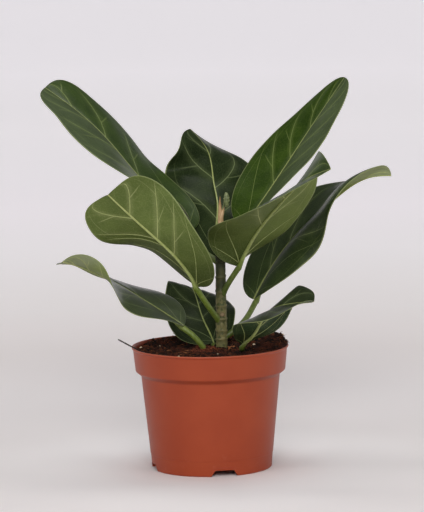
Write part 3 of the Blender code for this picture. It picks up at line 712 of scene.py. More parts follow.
def blade_mesh(name, blade, finishes):
    """Both skins of the blade on one grid whose rows lean forward, joined along the margin."""
    row = (1 - np.cos(math.pi * np.arange(BLADE_ROWS + 1) / BLADE_ROWS)) / 2
    shares = (np.arange(BLADE_HALF_COLUMNS + 1) / BLADE_HALF_COLUMNS) ** COLUMN_CROWDING
    margin = row + EDGE_SWEEP * row * (1 - row)
    along = row[:, None] + (margin - row)[:, None] * shares**EDGE_BEND
    columns = 2 * BLADE_HALF_COLUMNS + 1
    skins, maps = [], []
    for side in (0, 1):
        out = shares * (blade.outline(margin) * blade.half[side])[:, None]
        skins.append(blade.skin(along, out, side))
        share = blade.share(along, out, side)
        base_vein = (along - BASE_VEIN_START - blade.reach * share**BASE_VEIN_BEND) * blade.length
        outer_vein = (along - BASE_VEIN_START - OUTER_VEIN_REACH * share) * blade.length
        flat = (along * blade.length, out * (1 if side else -1))
        pairs = (flat, (blade.phase(along, share, side), base_vein), (share, outer_vein))
        maps.append([np.stack(pair, -1) for pair in pairs])
    tops, facing = (np.concatenate([skins[0][k][:, :0:-1], skins[1][k]], axis=1) for k in (0, 1))
    middle = BLADE_HALF_COLUMNS
    facing[:, middle] = (skins[0][1][:, 0] + skins[1][1][:, 0]) / 2
    thickness = BLADE_THICKNESS * (1 - MARGIN_THINNING * np.abs(np.linspace(-1, 1, columns)) ** 6)
    unders = tops - facing * thickness[None, :, None]
    count = tops.shape[0] * columns
    verts = np.concatenate([tops.reshape(-1, 3), unders.reshape(-1, 3)])
    faces, corners, slots = [], [], []
    for i in range(BLADE_ROWS):
        for j in range(columns - 1):
            a, b = i * columns + j, i * columns + j + 1
            c, d = b + columns, a + columns
            side = 0 if j < middle else 1
            faces += [(a, d, c, b), (count + a, count + b, count + c, count + d)]
            spots = [(side, i, j), (side, i + 1, j), (side, i + 1, j + 1), (side, i, j + 1)]
            corners += spots + [spots[0], spots[3], spots[2], spots[1]]
            slots += [0, 1]
        for j, side in ((0, 0), (columns - 1, 1)):
            a, d = i * columns + j, (i + 1) * columns + j
            ring = (a, count + a, count + d, d) if side == 0 else (a, d, count + d, count + a)
            faces.append(ring)
            corners += [(side, v % count // columns, j) for v in ring]
            slots.append(1)
    mesh = bpy.data.meshes.new(name)
    mesh.from_pydata(verts.tolist(), [], faces)
    for index, title in enumerate(("blade", "veins", "shares")):
        layer = mesh.uv_layers.new(name=title)
        spread = [maps[side][index] for side in (0, 1)]
        values = [spread[side][i, abs(j - middle)] for side, i, j in corners]
        layer.data.foreach_set("uv", np.array(values, np.float32).ravel())
    mesh.polygons.foreach_set("material_index", slots)
    for finish in finishes:
        mesh.materials.append(finish)
    cleaned = bmesh.new()
    cleaned.from_mesh(mesh)
    bmesh.ops.remove_doubles(cleaned, verts=cleaned.verts, dist=0.002 * MM)
    bmesh.ops.dissolve_degenerate(cleaned, edges=cleaned.edges, dist=0.001 * MM)
    cleaned.to_mesh(mesh)
    cleaned.free()
    mesh.shade_smooth()
    return mesh


TOP_GREENS = (
    (colour(56, 80, 12), colour(40, 51, 28)),
    (colour(38, 61, 6), colour(26, 36, 19)),
    (colour(128, 144, 72), colour(112, 124, 84)),
)
UNDER_GREENS = (
    (colour(111, 124, 62), colour(57, 76, 31)),
    (colour(97, 111, 51), colour(47, 64, 25)),
    (colour(172, 178, 122), colour(172, 178, 122)),
)
TOP_RIB = colour(142, 150, 92)
UNDER_RIB = colour(178, 180, 122)
PALE_MARGIN = colour(140, 150, 100)
SHADED_BASE = colour(30, 42, 10)
PAINTED_SHEEN_TOP = colour(104, 112, 90)
PAINTED_GLARE_UNDER = colour(176, 181, 160)
BACKLIT_UNDER = colour(158, 182, 84)
MIDRIB_LINE_SHARE = 0.024
MIDRIB_LINE_TAPER = 0.0035


def leaf_finish(name, blade, underside):
    """Leaf colour with its vein lines, for the top or the underside of a blade.

    The blade says how far its ground, its deep green and its veins' colour lean to the second of each
    pair, how much painted sheen, a grey reflection, lies on the halves of its top and painted glare towards
    the tip of its underside, and how much lighter the left half of its underside is painted, as light
    shining through it. The underside is painted darker near the base: painted shade.
    """
    if underside:
        greens, lean, gloss, sheen = UNDER_GREENS, blade.under, 0.48, 0.28
    else:
        greens, lean, gloss, sheen = TOP_GREENS, blade.tint, 0.25, blade.sheen
    pairs = [zip(first, second) for first, second in greens]
    ground, deep, vein = (tuple(a + (b - a) * lean for a, b in pair) for pair in pairs)
    paint = Paint(name, IOR=1.36, Specular_IOR_Level=sheen)
    flat = paint.uv("blade")
    along, across, _ = paint.parts(flat)
    count, base_vein, _ = paint.parts(paint.uv("veins"))
    share, outer_vein, _ = paint.parts(paint.uv("shares"))
    fading = share.fall(0.55, 0.97)
    wobble = (paint.noise(flat, 7 * MM, 2) - 0.5) * 0.10
    strips = count + wobble * 0.35
    near = abs((strips + 0.5).cycle() - 0.5)
    past = strips.cycle()
    loop = (share - past * 0.17 - 0.74 + wobble * 0.3).line(0.004, 0.013)
    fork = (1 - past - (share - 0.3) * 1.1 + wobble * 0.5).line(0.006, 0.022)
    fork = fork * share.rise(0.28, 0.32) * share.fall(0.55, 0.8)
    base_line = (base_vein + wobble * 6 * MM).line(0.15 * MM, 0.72 * MM)
    outer_line = (outer_vein + wobble * 6 * MM).line(0.1 * MM, 0.5 * MM)
    midrib = (abs(across) / (blade.half[0] * MIDRIB_LINE_SHARE - along * MIDRIB_LINE_TAPER)).fall(0.6, 1.1)
    lines = (near.fall(0.006, 0.022) * 0.9).larger(base_line).larger(outer_line * 0.5)
    lines = lines.larger(loop.larger(fork) * 0.4) * (0.25 + fading * 0.75)
    net = paint.cells(flat, 3.4 * MM).fall(0.0, 0.09)
    branches = paint.cells(flat, 11 * MM).fall(0.0, 0.035)
    mottled = paint.noise(flat, 22 * MM, 4, 0.55)
    speck = paint.noise(flat, 1.1 * MM, 2)
    layers = [(mottled.rise(0.3, 0.75), ground)]
    if underside:
        layers.append((along.fall(2 * MM, 42 * MM) * 0.62, SHADED_BASE))
    layers += [
        (near.fall(0.02, 0.22) * 0.16 * fading, vein),
        (speck.rise(0.4, 0.8) * 0.12, vein),
        (net * (0.035 if underside else 0.02), vein),
        (branches * 0.05, vein),
    ]
    left, right, tip = blade.painted_sheen
    # Painted light: the left half of the underside is painted lighter, as light shining through the leaf.
    if underside and blade.backlit_half:
        layers.append((across.fall(-9 * MM, 1 * MM) * blade.backlit_half, BACKLIT_UNDER))
    # Painted glare: a pale grey reflection painted on the underside towards its tip.
    if underside and tip:
        layers.append((along.rise(0.72 * blade.length, 0.86 * blade.length) * tip, PAINTED_GLARE_UNDER))
    elif left or right:
        # Painted sheen: a grey reflection painted over the left and right halves of the top.
        sheen_mask = across.rise(-6 * MM, 6 * MM) * (right - left) + left
        layers.append((sheen_mask * (mottled * 0.8 + 0.6), PAINTED_SHEEN_TOP))
    layers += [
        (lines, vein),
        (midrib * 0.95, UNDER_RIB if underside else TOP_RIB),
        (share.rise(0.965, 0.99) * 0.75, PALE_MARGIN),
    ]
    rough = gloss + mottled * 0.10 + lines.larger(midrib) * 0.06
    relief = lines * (0.5 if underside else -0.5) + net * (0.16 if underside else -0.10)
    relief = relief + branches * (0.3 if underside else -0.2) + speck * 0.12
    return paint.finish(paint.layered(deep, *layers), rough, relief, 0.3 * MM, 0.55)


class Recipe(Nodes):
    """A Geometry Nodes group with named inputs, which ends by making its bodies real and dressing them."""

    def __init__(self, name, **inputs):
        super().__init__(bpy.data.node_groups.new(name, "GeometryNodeTree"))
        for title, kind in inputs.items():
            self.tree.interface.new_socket(title, in_out="INPUT", socket_type="NodeSocket" + kind)
        self.tree.interface.new_socket("Bodies", in_out="OUTPUT", socket_type="NodeSocketGeometry")
        self.given = {socket.name: Wire(self, socket) for socket in self.node("NodeGroupInput").outputs}

    def finish(self, bodies):
        """Make the bodies real and give them the finish."""
        real = self.wire("GeometryNodeRealizeInstances", {"Geometry": bodies})
        dressed = self.wire("GeometryNodeSetMaterial", {"Geometry": real, "Material": self.given["Finish"]})
        self.node("NodeGroupOutput", {"Bodies": dressed})


# Tubes follow thin paths, and each point's own thickness is in the thick attribute.
TUBES = Recipe("tapered_tubes", Paths="Geometry", Sides="Int", Finish="Material")
thin_paths = TUBES.wire("GeometryNodeMeshToCurve", {"Mesh": TUBES.given["Paths"]})
thick = TUBES.wire("GeometryNodeInputNamedAttribute", {"Name": "thick"}, data_type="FLOAT")
circle = TUBES.wire("GeometryNodeCurvePrimitiveCircle", {"Resolution": TUBES.given["Sides"], "Radius": 1.0})
tube_inputs = {"Curve": thin_paths, "Profile Curve": circle, "Scale": thick, "Fill Caps": True}
tubes = TUBES.wire("GeometryNodeCurveToMesh", tube_inputs)
TUBES.finish(TUBES.wire("GeometryNodeSetShadeSmooth", {"Geometry": tubes}))


def grown(name, mesh, recipe, **values):
    """The mesh a recipe makes from another mesh. Its inputs are set by their sockets' identifiers."""
    ground = placed(name + "_ground", mesh)
    modifier = ground.modifiers.new("recipe", "NODES")
    modifier.node_group = recipe.tree
    for item in recipe.tree.interface.items_tree:
        if item.in_out == "INPUT" and item.name in values:
            modifier[item.identifier] = values[item.name]
    made = evaluated_mesh(ground)
    made.name = name
    return made


def added_tubes(name, paths, material, sides, slot, node):
    """A piece of tapering tubes. Each path is its points, the radius at each and, if it has them, values that
    pale it towards a rib's cream above zero and darken it with painted shade below zero.
    """
    verts, edges, thick, pale = [], [], [], []
    for points, radii, *paleness_and_shade in paths:
        first = len(verts)
        pale += [float(share) for share in paleness_and_shade[0]] if paleness_and_shade else [0.0] * len(points)
        verts += [tuple(map(float, point)) for point in points]
        thick += [float(radius) for radius in radii]
        edges += [(first + i, first + i + 1) for i in range(len(points) - 1)]
    mesh = bpy.data.meshes.new(name)
    mesh.from_pydata(verts, edges, [])
    for title, values in (("thick", thick), ("pale", pale)):
        mesh.attributes.new(title, "FLOAT", "POINT").data.foreach_set("value", values)
    made = grown(name, mesh, TUBES, Sides=sides, Finish=material)
    made.attributes.remove(made.attributes["thick"])
    added(name, made, slot, node)


STALK_RADIUS = 2.3 * MM
STALK_STEPS = 24
STALK_RUN_OUT = 0.11
STALK_SINK = STALK_RADIUS + 0.3 * MM
MIDRIB_BASE_RADIUS = 1.55 * MM
MIDRIB_TIP_RADIUS = 0.35 * MM
MIDRIB_STEPS = 60
MIDRIB_END = 0.985
SIDE_VEIN_RADIUS = 0.3 * MM
BASE_VEIN_RADIUS = 0.42 * MM
VEIN_STEPS = 34
VEIN_END = 0.9
VEIN_LAST_ROW = 0.975
BURIED_LEAVES = ("leaf_lower_left", "leaf_lower_back", "leaf_lower_right")
STEM_PLACE = np.array((9.2, 0)) * MM
STEM_PITH = 1.2 * MM


def stalk_path(blade, buried):
    """The stalk from the stem or the compost, running on under the blade as the midrib to its tip."""
    points, radii, pale = [], [], []
    back_of_base = -blade.skin(np.array(0.0), np.array(0.0), 1)[1]
    for i in range(STALK_STEPS):
        share = i / STALK_STEPS
        place, forward = blade.read(blade.base * share)
        if not buried and np.linalg.norm(place[:2] - STEM_PLACE) < STEM_PITH:
            continue
        level = np.cross(forward, (0, 0, 1))
        level /= np.linalg.norm(level)
        below = -np.cross(level, forward) * (1 - share) + back_of_base * share
        below /= np.linalg.norm(below)
        swell = 1 + 0.22 * math.exp(-((share * 6) ** 2)) + 0.06 * math.exp(-(((share - 1) * 7) ** 2))
        points.append(place + below * STALK_SINK * share)
        radii.append(STALK_RADIUS * swell * (1 - 0.06 * share))
        # Painted shade: the stalk is painted darker, more so towards the stem and on stalks that stand in
        # shade.
        pale.append(-min(1.0, blade.stalk_shade + 0.45 * (1 - share) ** 2))
    for i in range(MIDRIB_STEPS + 1):
        share = i / MIDRIB_STEPS * MIDRIB_END
        place, facing = blade.skin(np.array(share), np.array(0.0), 1)
        radius = MIDRIB_BASE_RADIUS + (MIDRIB_TIP_RADIUS - MIDRIB_BASE_RADIUS) * share**0.8
        joining = max(0.0, 1 - share / STALK_RUN_OUT) ** 2
        radius += (STALK_RADIUS - MIDRIB_BASE_RADIUS) * joining
        sunk = 0.75 * radius + 0.25 * BLADE_THICKNESS
        points.append(place - facing * (sunk + (STALK_SINK - sunk) * joining))
        radii.append(radius)
        # The midrib pales from its base to a rib's cream; on a shaded stalk its base is painted darker and it
        # pales less: painted shade.
        pale.append(min(1 - 0.45 * blade.stalk_shade, (1 + blade.stalk_shade) * share / 0.12 - blade.stalk_shade))
    return points, radii, pale


def vein_paths(blade):
    """The raised veins of the underside: the strong pair from the base and the side veins."""
    paths = []
    for side in (0, 1):
        courses = [(start, SIDE_VEIN_REACH, SIDE_VEIN_BEND, SIDE_VEIN_RADIUS) for start in blade.veins[side]]
        courses.append((BASE_VEIN_START, blade.reach, BASE_VEIN_BEND, BASE_VEIN_RADIUS))
        courses.append((BASE_VEIN_START, OUTER_VEIN_REACH, 1.0, 0.7 * SIDE_VEIN_RADIUS))
        for start, reach, bend, radius in courses:
            share = np.linspace(0, VEIN_END, VEIN_STEPS)
            along = start + reach * share**bend
            kept = along < VEIN_LAST_ROW
            share, along = share[kept], along[kept]
            if len(share) < 4:
                continue
            places, facing = blade.skin(along, share * blade.outline(along) * blade.half[side], side)
            size = radius * (1 - 0.8 * share / VEIN_END)
            paths.append((places - facing * (BLADE_THICKNESS + 0.15 * size)[:, None], size))
    return paths


stalk = Paint("green stalk", Roughness=0.38)
where = stalk.place()
streaks = stalk.noise(stalk.stretched(where, (1, 1, 0.25)), 1.6 * MM, 3)
flecks = stalk.noise(where, 0.7 * MM, 2)
paleness_and_shade = stalk.wire("ShaderNodeAttribute", output="Fac", attribute_name="pale")
pale_rib = stalk.mixed(streaks.rise(0.3, 0.75), colour(152, 162, 92), colour(174, 182, 120))
shade = stalk.layered(
    stalk.mixed(streaks.rise(0.3, 0.75), colour(92, 110, 34), colour(120, 136, 60)),
    (flecks.rise(0.62, 0.8) * 0.3, colour(86, 84, 40)),
    (paleness_and_shade.larger(0) * 0.9, pale_rib),
    # Below zero the attribute paints the stalk dark green: painted shade.
    ((0 - paleness_and_shade).larger(0) * 0.85, colour(38, 50, 12)),
)
stalk_finish = stalk.finish(shade, 0.36 + streaks * 0.12, streaks, 0.2 * MM, 0.4)

rib = Paint("pale vein", Roughness=0.5)
where = rib.place()
shade = rib.mixed(rib.noise(where, 4 * MM, 3).rise(0.35, 0.7), colour(150, 160, 94), colour(170, 178, 118))
rib_finish = rib.finish(shade, None, rib.noise(where, 0.6 * MM, 2), 0.1 * MM, 0.3)

for name, sizes in LEAVES.items():
    blade = Blade(**sizes)
    finishes = (leaf_finish(name + "_top", blade, False), leaf_finish(name + "_under", blade, True))
    added(name + "_blade", blade_mesh(name + "_blade", blade, finishes), "leaf", name)
    course = stalk_path(blade, name in BURIED_LEAVES)
    added_tubes(name + "_stalk", [course], stalk_finish, 20, "leaf", name)
    added_tubes(name + "_veins", vein_paths(blade), rib_finish, 8, "leaf", name)


# Stem
# A young woody stem, grey-green and ringed by the scars of fallen leaves and bud scales lower down,
# smooth dark green above, a little swollen at each leaf joint.
STEM_FOOT = 60 * MM
STEM_TOP = 190 * MM
STEM_TAPER_START = 48 * MM
STEM_FOOT_RADIUS = 5.0 * MM
STEM_TOP_RADIUS = 3.6 * MM
STEM_CROWN = 6 * MM
STEM_NODES = tuple(z * MM for z in (101, 107.5, 117, 127, 138, 150, 161.5, 172, 181))
LEAF_SCARS = ((-78, 120.5 * MM), (105, 127 * MM), (15, 103 * MM), (190, 142 * MM))
STEM_STEPS = 420
STEM_SIDES = 40
stem_rings = []
for i in range(STEM_STEPS + 1):
    z = STEM_FOOT + (STEM_TOP - STEM_FOOT) * i / STEM_STEPS
    share = (z - STEM_TAPER_START) / (STEM_TOP - STEM_TAPER_START)
    radius = STEM_FOOT_RADIUS + (STEM_TOP_RADIUS - STEM_FOOT_RADIUS) * share
    radius -= 0.15 * STEM_TOP_RADIUS * max(0.0, 1 - (STEM_TOP - z) / STEM_CROWN) ** 2
    spots = []
    for j in range(STEM_SIDES):
        turn = 2 * math.pi * j / STEM_SIDES
        spot = Vector((math.cos(turn), math.sin(turn), z / (9 * MM)))
        r = radius * (1 + 0.035 * noise.noise(spot))
        for k, node in enumerate(STEM_NODES):
            tilt = 0.7 * MM * math.cos(turn + 2.4 * k)
            away = (z - node - tilt) / (0.9 * MM)
            r += 0.42 * MM * math.exp(-(away**2)) - 0.16 * MM * math.exp(-((away - 1.7) ** 2))
        r += 0.10 * MM * noise.noise(spot * 3.1)
        spots.append((STEM_PLACE[0] + r * math.cos(turn), r * math.sin(turn), z))
    stem_rings.append(spots)
stem_mesh = rings_mesh("stem", stem_rings[::-1])
bark = Paint("young bark", Roughness=0.6)
where = bark.place()
height = bark.parts(where)[2]
patches = bark.noise(where, 6 * MM, 4, 0.6)
fine = bark.noise(bark.stretched(where, (1, 1, 2.2)), 1.3 * MM, 4, 0.6)
streaks = bark.noise(bark.stretched(where, (1, 1, 0.22)), 1.1 * MM, 4, 0.6)
mossy = bark.noise(where, 3.4 * MM, 3, 0.5)
old = (height + patches * 12 * MM).fall(136 * MM, 150 * MM)
green = bark.mixed(patches.rise(0.35, 0.7), colour(38, 46, 14), colour(66, 66, 28))
tan = bark.layered(
    bark.mixed(patches.rise(0.32, 0.68), colour(84, 84, 42), colour(114, 108, 62)),
    (streaks.rise(0.5, 0.75) * 0.6, colour(136, 126, 92)),
    (mossy.rise(0.49, 0.63) * 0.85, colour(48, 60, 16)),
)
layers = [(old, tan)]
for node in STEM_NODES:
    ridge = (height - node + (patches - 0.5) * 2.6 * MM).line(0.2 * MM, 0.8 * MM)
    layers.append((ridge * (0.14 + old * 0.3), colour(126, 116, 78)))
    groove = (height - node + 1.7 * MM + (mossy - 0.5) * 2 * MM).line(0.4 * MM, 1.5 * MM) * 0.5
    layers.append((groove * (0.2 + old * 0.55), colour(58, 54, 22)))
for turn, scar_height in LEAF_SCARS:
    side = Vector((math.cos(math.radians(turn)), math.sin(math.radians(turn)), 0)) * 4.4 * MM
    middle = POT_AXIS + Vector((*STEM_PLACE, 0)) + side + Vector((0, 0, scar_height))
    away = bark.spot(where, middle, (2.2 * MM, 2.2 * MM, 1.7 * MM)) + (fine - 0.5) * 0.5
    layers.append((away.fall(0.85, 1.1) * 0.85, colour(92, 66, 44)))
    layers.append((away.fall(0.55, 0.85), colour(128, 110, 78)))
stem_mesh.materials.append(bark.finish(bark.layered(green, *layers), 0.5 + fine * 0.25, fine, 0.4 * MM, 0.6))
added("stem_bark", stem_mesh, "bark", "stem")


# Growing tip
# A bud sheath, peach-pink and papery, split into prongs, and beside it one small leaf that is still
# rolled, pale green with its edges not yet open. The paths and their radii are in mm.
SHEATH_FOOT = (10, 0, 190.2)
SHEATH_PRONGS = (((9.7, 0.1, 202), (9.8, 0.4, 212.7), 1.55), ((11.2, -0.3, 199), (12.8, -0.5, 207), 1.6))
SPINDLE_STEPS = 26


def spindle_path(points, radii):
    """A smooth tapering path through a few points."""
    stations, read = natural_curve(points)
    places = read(np.linspace(0, stations[-1], SPINDLE_STEPS))[0]
    spread = np.interp(np.linspace(0, 1, SPINDLE_STEPS), np.linspace(0, 1, len(radii)), radii)
    return places, spread * MM


sheath_paths = []
foot_x, foot_y, foot_z = SHEATH_FOOT
for middle, tip, wide in SHEATH_PRONGS:
    foot = [(foot_x + 0.35 * (middle[0] - foot_x), foot_y, foot_z), (foot_x, foot_y, foot_z + 5)]
    sheath_paths.append(spindle_path([*foot, middle, tip], (1.55 * wide, 1.3 * wide, 0.72 * wide, 0.12)))
membrane = Paint("peach sheath", Roughness=0.5)
where = membrane.place()
lengthwise = membrane.noise(membrane.stretched(where, (1, 1, 0.15)), 0.8 * MM, 3)
shade = membrane.layered(
    membrane.mixed(lengthwise.rise(0.35, 0.7), colour(196, 158, 112), colour(220, 186, 144)),
    (membrane.parts(where)[2].rise(200 * MM, 212 * MM), colour(170, 126, 78)),
)
sheath_finish = membrane.finish(shade, None, lengthwise, 0.2 * MM, 0.4)
added_tubes("bud_sheath_scales", sheath_paths, sheath_finish, 14, "sheath", "bud_sheath")

YOUNG_MIDDLE = np.array((14.4, -0.6, 210)) * MM
YOUNG_LENGTH = 11.6 * MM
YOUNG_RADIUS = 2.7 * MM
YOUNG_ROWS = 36
YOUNG_SIDES = 28
YOUNG_STALK = ((11.4, -0.3, 201.5), (12.4, -1.2, 205.5), (13.1, -2.0, 210), (13.6, -1.6, 214.6))
spots, faces = [], []
for i in range(YOUNG_ROWS + 1):
    u = i / YOUNG_ROWS
    wide = YOUNG_RADIUS * max(math.sin(math.pi * (0.06 + 0.9 * u)), 0.02) ** 0.7
    for j in range(YOUNG_SIDES + 1):
        v = 2 * j / YOUNG_SIDES - 1
        turn = math.radians(15 + 150 * v)
        frill = 1 + 0.10 * math.sin(38 * u + 4 * v) * abs(v) ** 3
        frill += 0.05 * math.cos(9 * math.pi * u + 3 * abs(v))
        tuck = 1 - 0.32 * abs(v) ** 2
        x = YOUNG_MIDDLE[0] + wide * frill * tuck * math.cos(turn)
        y = YOUNG_MIDDLE[1] + 0.62 * wide * frill * tuck * math.sin(turn)
        spots.append((x, y, YOUNG_MIDDLE[2] + (u - 0.5) * YOUNG_LENGTH))
for i in range(YOUNG_ROWS):
    for low in range(i * (YOUNG_SIDES + 1), i * (YOUNG_SIDES + 1) + YOUNG_SIDES):
        high = low + YOUNG_SIDES + 1
        faces.append((low, low + 1, high + 1, high))
young_mesh = bpy.data.meshes.new("young_leaf_blade")
young_mesh.from_pydata(spots, [], faces)
young_form = placed("young_form", young_mesh)
wall = young_form.modifiers.new("wall", "SOLIDIFY")
wall.thickness = 0.3 * MM
wall.offset = 0
young_mesh = evaluated_mesh(young_form)
young_mesh.shade_smooth()
fresh = Paint("young leaf green", Roughness=0.45)
pleats = fresh.noise(fresh.stretched(fresh.place(), (1, 1, 0.4)), 0.9 * MM, 3)
shade = fresh.mixed(pleats.rise(0.35, 0.7), colour(96, 108, 66), colour(140, 148, 100))
fresh_finish = fresh.finish(shade, None, pleats, 0.3 * MM, 0.5)
young_mesh.materials.append(fresh_finish)
added("young_leaf_blade", young_mesh, "young_leaf", "young_leaf")
young_path = spindle_path(YOUNG_STALK, (0.75, 0.6, 0.5, 0.15))
added_tubes("young_leaf_stalk", [young_path], fresh_finish, 10, "young_leaf", "young_leaf")


# Compost
# Dark peat and coir that fills the pot, low at the left and heaped above the rim at the right, with
# crumbs, fibres, bark flakes and a few white grains on it. A swell is its middle, spread and rise in mm.
SOIL_LEVEL = 93.6 * MM
SOIL_SWELLS = (
    (49, 15, 16, 9.0), (46, -16, 12, 3.0), (-52, 2, 7, 1.8), (-28, 6, 16, -3.6), (-15, 48, 22, 3.0),
    (-4, -9, 6.5, 3.2), (-46, 28, 15, 2.4),
)
SOIL_LUMP = 0.7 * MM
SOIL_RINGS = 90
SOIL_SIDES = 220
SOIL_RADIUS = RIM_RADIUS - POT_WALL - 0.9 * MM
SPILL_STEPS = 3
SPILL_TURN = math.radians(8)
SPILL_HALF_WIDTH = math.radians(42)
swells = [tuple(size * MM for size in swell) for swell in SOIL_SWELLS]


def soil_height(x, y):
    """Height of the compost: its swells, its lumps and, finer, its crumb."""
    height = SOIL_LEVEL
    for middle_x, middle_y, spread, rise in swells:
        height += rise * math.exp(-((x - middle_x) ** 2 + (y - middle_y) ** 2) / (2 * spread**2))
    lumps = math.sin(x / MM * 0.41 + 1.7) * math.sin(y / MM * 0.37 + 0.4)
    lumps += 0.6 * math.sin((x + y) / MM * 0.73) * math.sin((x - y) / MM * 0.59 + 2.0)
    spot = Vector((x, y, 0.01)) / (3.2 * MM)
    crumb = 0.75 * noise.noise(spot) + 0.4 * noise.noise(spot * 2.3) + 0.25 * noise.noise(spot * 4.9)
    edge = max(0.0, math.hypot(x, y) - 0.84 * RIM_RADIUS)
    droop = 0.35 * max(0.0, 0.5 - (x + y) / (2 * RIM_RADIUS))
    return height + SOIL_LUMP * lumps - droop * edge + crumb * MM


soil_rings = []
for i in range(1, SOIL_RINGS + 1):
    spots = ring(SOIL_RADIUS * i / SOIL_RINGS, 0, SOIL_SIDES)
    soil_rings.append([Vector((x, y, soil_height(x, y))) for x, y, _ in spots])
turns = [2 * math.pi * j / SOIL_SIDES for j in range(SOIL_SIDES)]
edge = [(turn, spot.z) for turn, spot in zip(turns, soil_rings[-1])]
for i in range(1, SPILL_STEPS + 1):
    spots = []
    for turn, edge_height in edge:
        away = abs(math.remainder(turn - SPILL_TURN, 2 * math.pi))
        spilt = max(0.0, 1 - away / SPILL_HALF_WIDTH) ** 0.5
        reach = SOIL_RADIUS + (0.02 + 1.05 * spilt) * i * MM
        low = edge_height - 1.5 * MM + (POT_HEIGHT + 0.2 * MM - edge_height + 1.5 * MM) * min(1.0, 2 * spilt)
        z = edge_height + (low - edge_height) * (i / SPILL_STEPS)
        z += 0.4 * MM * spilt * noise.noise(Vector((turn * 14, i, 0)))
        spots.append((reach * math.cos(turn), reach * math.sin(turn), z))
    soil_rings.append(spots)
tuck = SOIL_RADIUS - 0.3 * MM
spots = []
for turn, edge_height in edge:
    low = min(edge_height - 1.7 * MM, POT_HEIGHT - 1.5 * MM)
    spots.append((tuck * math.cos(turn), tuck * math.sin(turn), low))
soil_rings.append(spots)
SOIL_SIDE = (
    (BAND_FOOT_RADIUS - 2.4 * MM, band_foot + 3.5 * MM),
    (WALL_TOP_RADIUS - 2.4 * MM, wall_top - 1.0 * MM),
    (FOOT_RADIUS - 2.6 * MM, FLOOR_TOP + 0.4 * MM),
)
soil_rings += [ring(reach, z, SOIL_SIDES) for reach, z in SOIL_SIDE]
soil_mesh = rings_mesh("compost", soil_rings, hub=(0, 0, soil_height(0, 0)))
earth = Paint("dark compost", Roughness=0.95, Specular_IOR_Level=0.2)
where = earth.place()
clods = earth.noise(where, 4 * MM, 5, 0.65)
grit = earth.noise(where, 1.0 * MM, 4, 0.7)
shade = earth.layered(
    earth.ramp(clods, [(0.32, colour(9, 5, 4)), (0.5, colour(27, 15, 11)), (0.7, colour(70, 38, 26))]),
    (earth.noise(where, 13 * MM, 3).rise(0.45, 0.62) * 0.65, colour(92, 44, 29)),
    (grit.rise(0.6, 0.78) * 0.5, colour(104, 74, 52)),
)
soil_mesh.materials.append(earth.finish(shade, None, clods + grit * 0.6, 1.2 * MM, 0.9))


def scatter_recipe(kind):
    """A recipe that strews small bodies over the ground: crumbs are rough pebbles, fibres are bent hairs."""
    recipe = Recipe(
        "strewn_" + kind, Ground="Geometry", Density="Float", Smallest="Float", Largest="Float",
        Seed="Int", Rounding="Int", Finish="Material",
    )
    given = recipe.given
    if kind == "crumbs":
        least_turn, most_turn = (0, 0, 0), (6.28, 6.28, 6.28)
        ball = recipe.wire("GeometryNodeMeshIcoSphere", {"Radius": 1.0, "Subdivisions": given["Rounding"]})
        rough = recipe.wire("ShaderNodeTexNoise", {"Scale": 1.1}, output="Color")
        shift = recipe.wire("ShaderNodeVectorMath", {0: rough, 1: (0.5, 0.5, 0.5)}, operation="SUBTRACT")
        body = recipe.wire("GeometryNodeSetPosition", {"Geometry": ball, "Offset": shift})
    else:
        least_turn, most_turn = (-0.5, -0.5, 0), (0.5, 0.5, 6.28)
        bend = {"Resolution": 7, "Start": (-3, 0, -0.3), "Middle": (0, 1.9, 1.2), "End": (3, -0.4, -0.2)}
        hair = recipe.wire("GeometryNodeCurveQuadraticBezier", bend)
        circle = recipe.wire("GeometryNodeCurvePrimitiveCircle", {"Resolution": 5, "Radius": 0.16})
        hair_inputs = {"Curve": hair, "Profile Curve": circle, "Fill Caps": True}
        body = recipe.wire("GeometryNodeCurveToMesh", hair_inputs)
    ground_inputs = {"Mesh": given["Ground"], "Density": given["Density"], "Seed": given["Seed"]}
    spots = recipe.wire("GeometryNodeDistributePointsOnFaces", ground_inputs)
    chance = "FunctionNodeRandomValue"
    turn = recipe.wire(chance, {0: least_turn, 1: most_turn}, data_type="FLOAT_VECTOR")
    size = recipe.wire(chance, {2: given["Smallest"], 3: given["Largest"]}, output=1, data_type="FLOAT")
    squash = recipe.wire(chance, {0: (0.7, 0.6, 0.35), 1: (1.3, 1.0, 0.9)}, data_type="FLOAT_VECTOR")
    scale = recipe.wire("ShaderNodeVectorMath", {0: squash, "Scale": size}, operation="SCALE")
    body_inputs = {"Points": spots, "Instance": body, "Rotation": turn, "Scale": scale}
    recipe.finish(recipe.wire("GeometryNodeInstanceOnPoints", body_inputs))
    return recipe


SCATTERS = {kind: scatter_recipe(kind) for kind in ("crumbs", "fibres")}


def ground_part(name, mesh, kept):
    """A copy of a mesh with only the faces whose middles are kept."""
    form = bmesh.new()
    form.from_mesh(mesh)
    lost = [face for face in form.faces if not kept(face.calc_center_median())]
    bmesh.ops.delete(form, geom=lost, context="FACES")
    return mesh_of(name, form)


LOWEST_GROUND = 84 * MM
STEM_CLEARANCE = 5 * MM
WALL_CLEARANCE = 1.2 * MM


def open_ground(spot):
    """Whether bits can lie there: on the top, inside the pot or above its rim, and clear of the stem."""
    inside = spot.xy.length <= SOIL_RADIUS - WALL_CLEARANCE or spot.z >= POT_HEIGHT
    clear = (spot.xy - Vector(STEM_PLACE)).length >= STEM_CLEARANCE
    return spot.z >= LOWEST_GROUND and inside and clear


TUFT_PLACE = Vector((-5, -13)) * MM
TUFT_REACH = 10 * MM
ground_mesh = ground_part("scatter_ground", soil_mesh, open_ground)
tuft_ground = ground_part("tuft_ground", ground_mesh, lambda at: (at.xy - TUFT_PLACE).length <= TUFT_REACH)


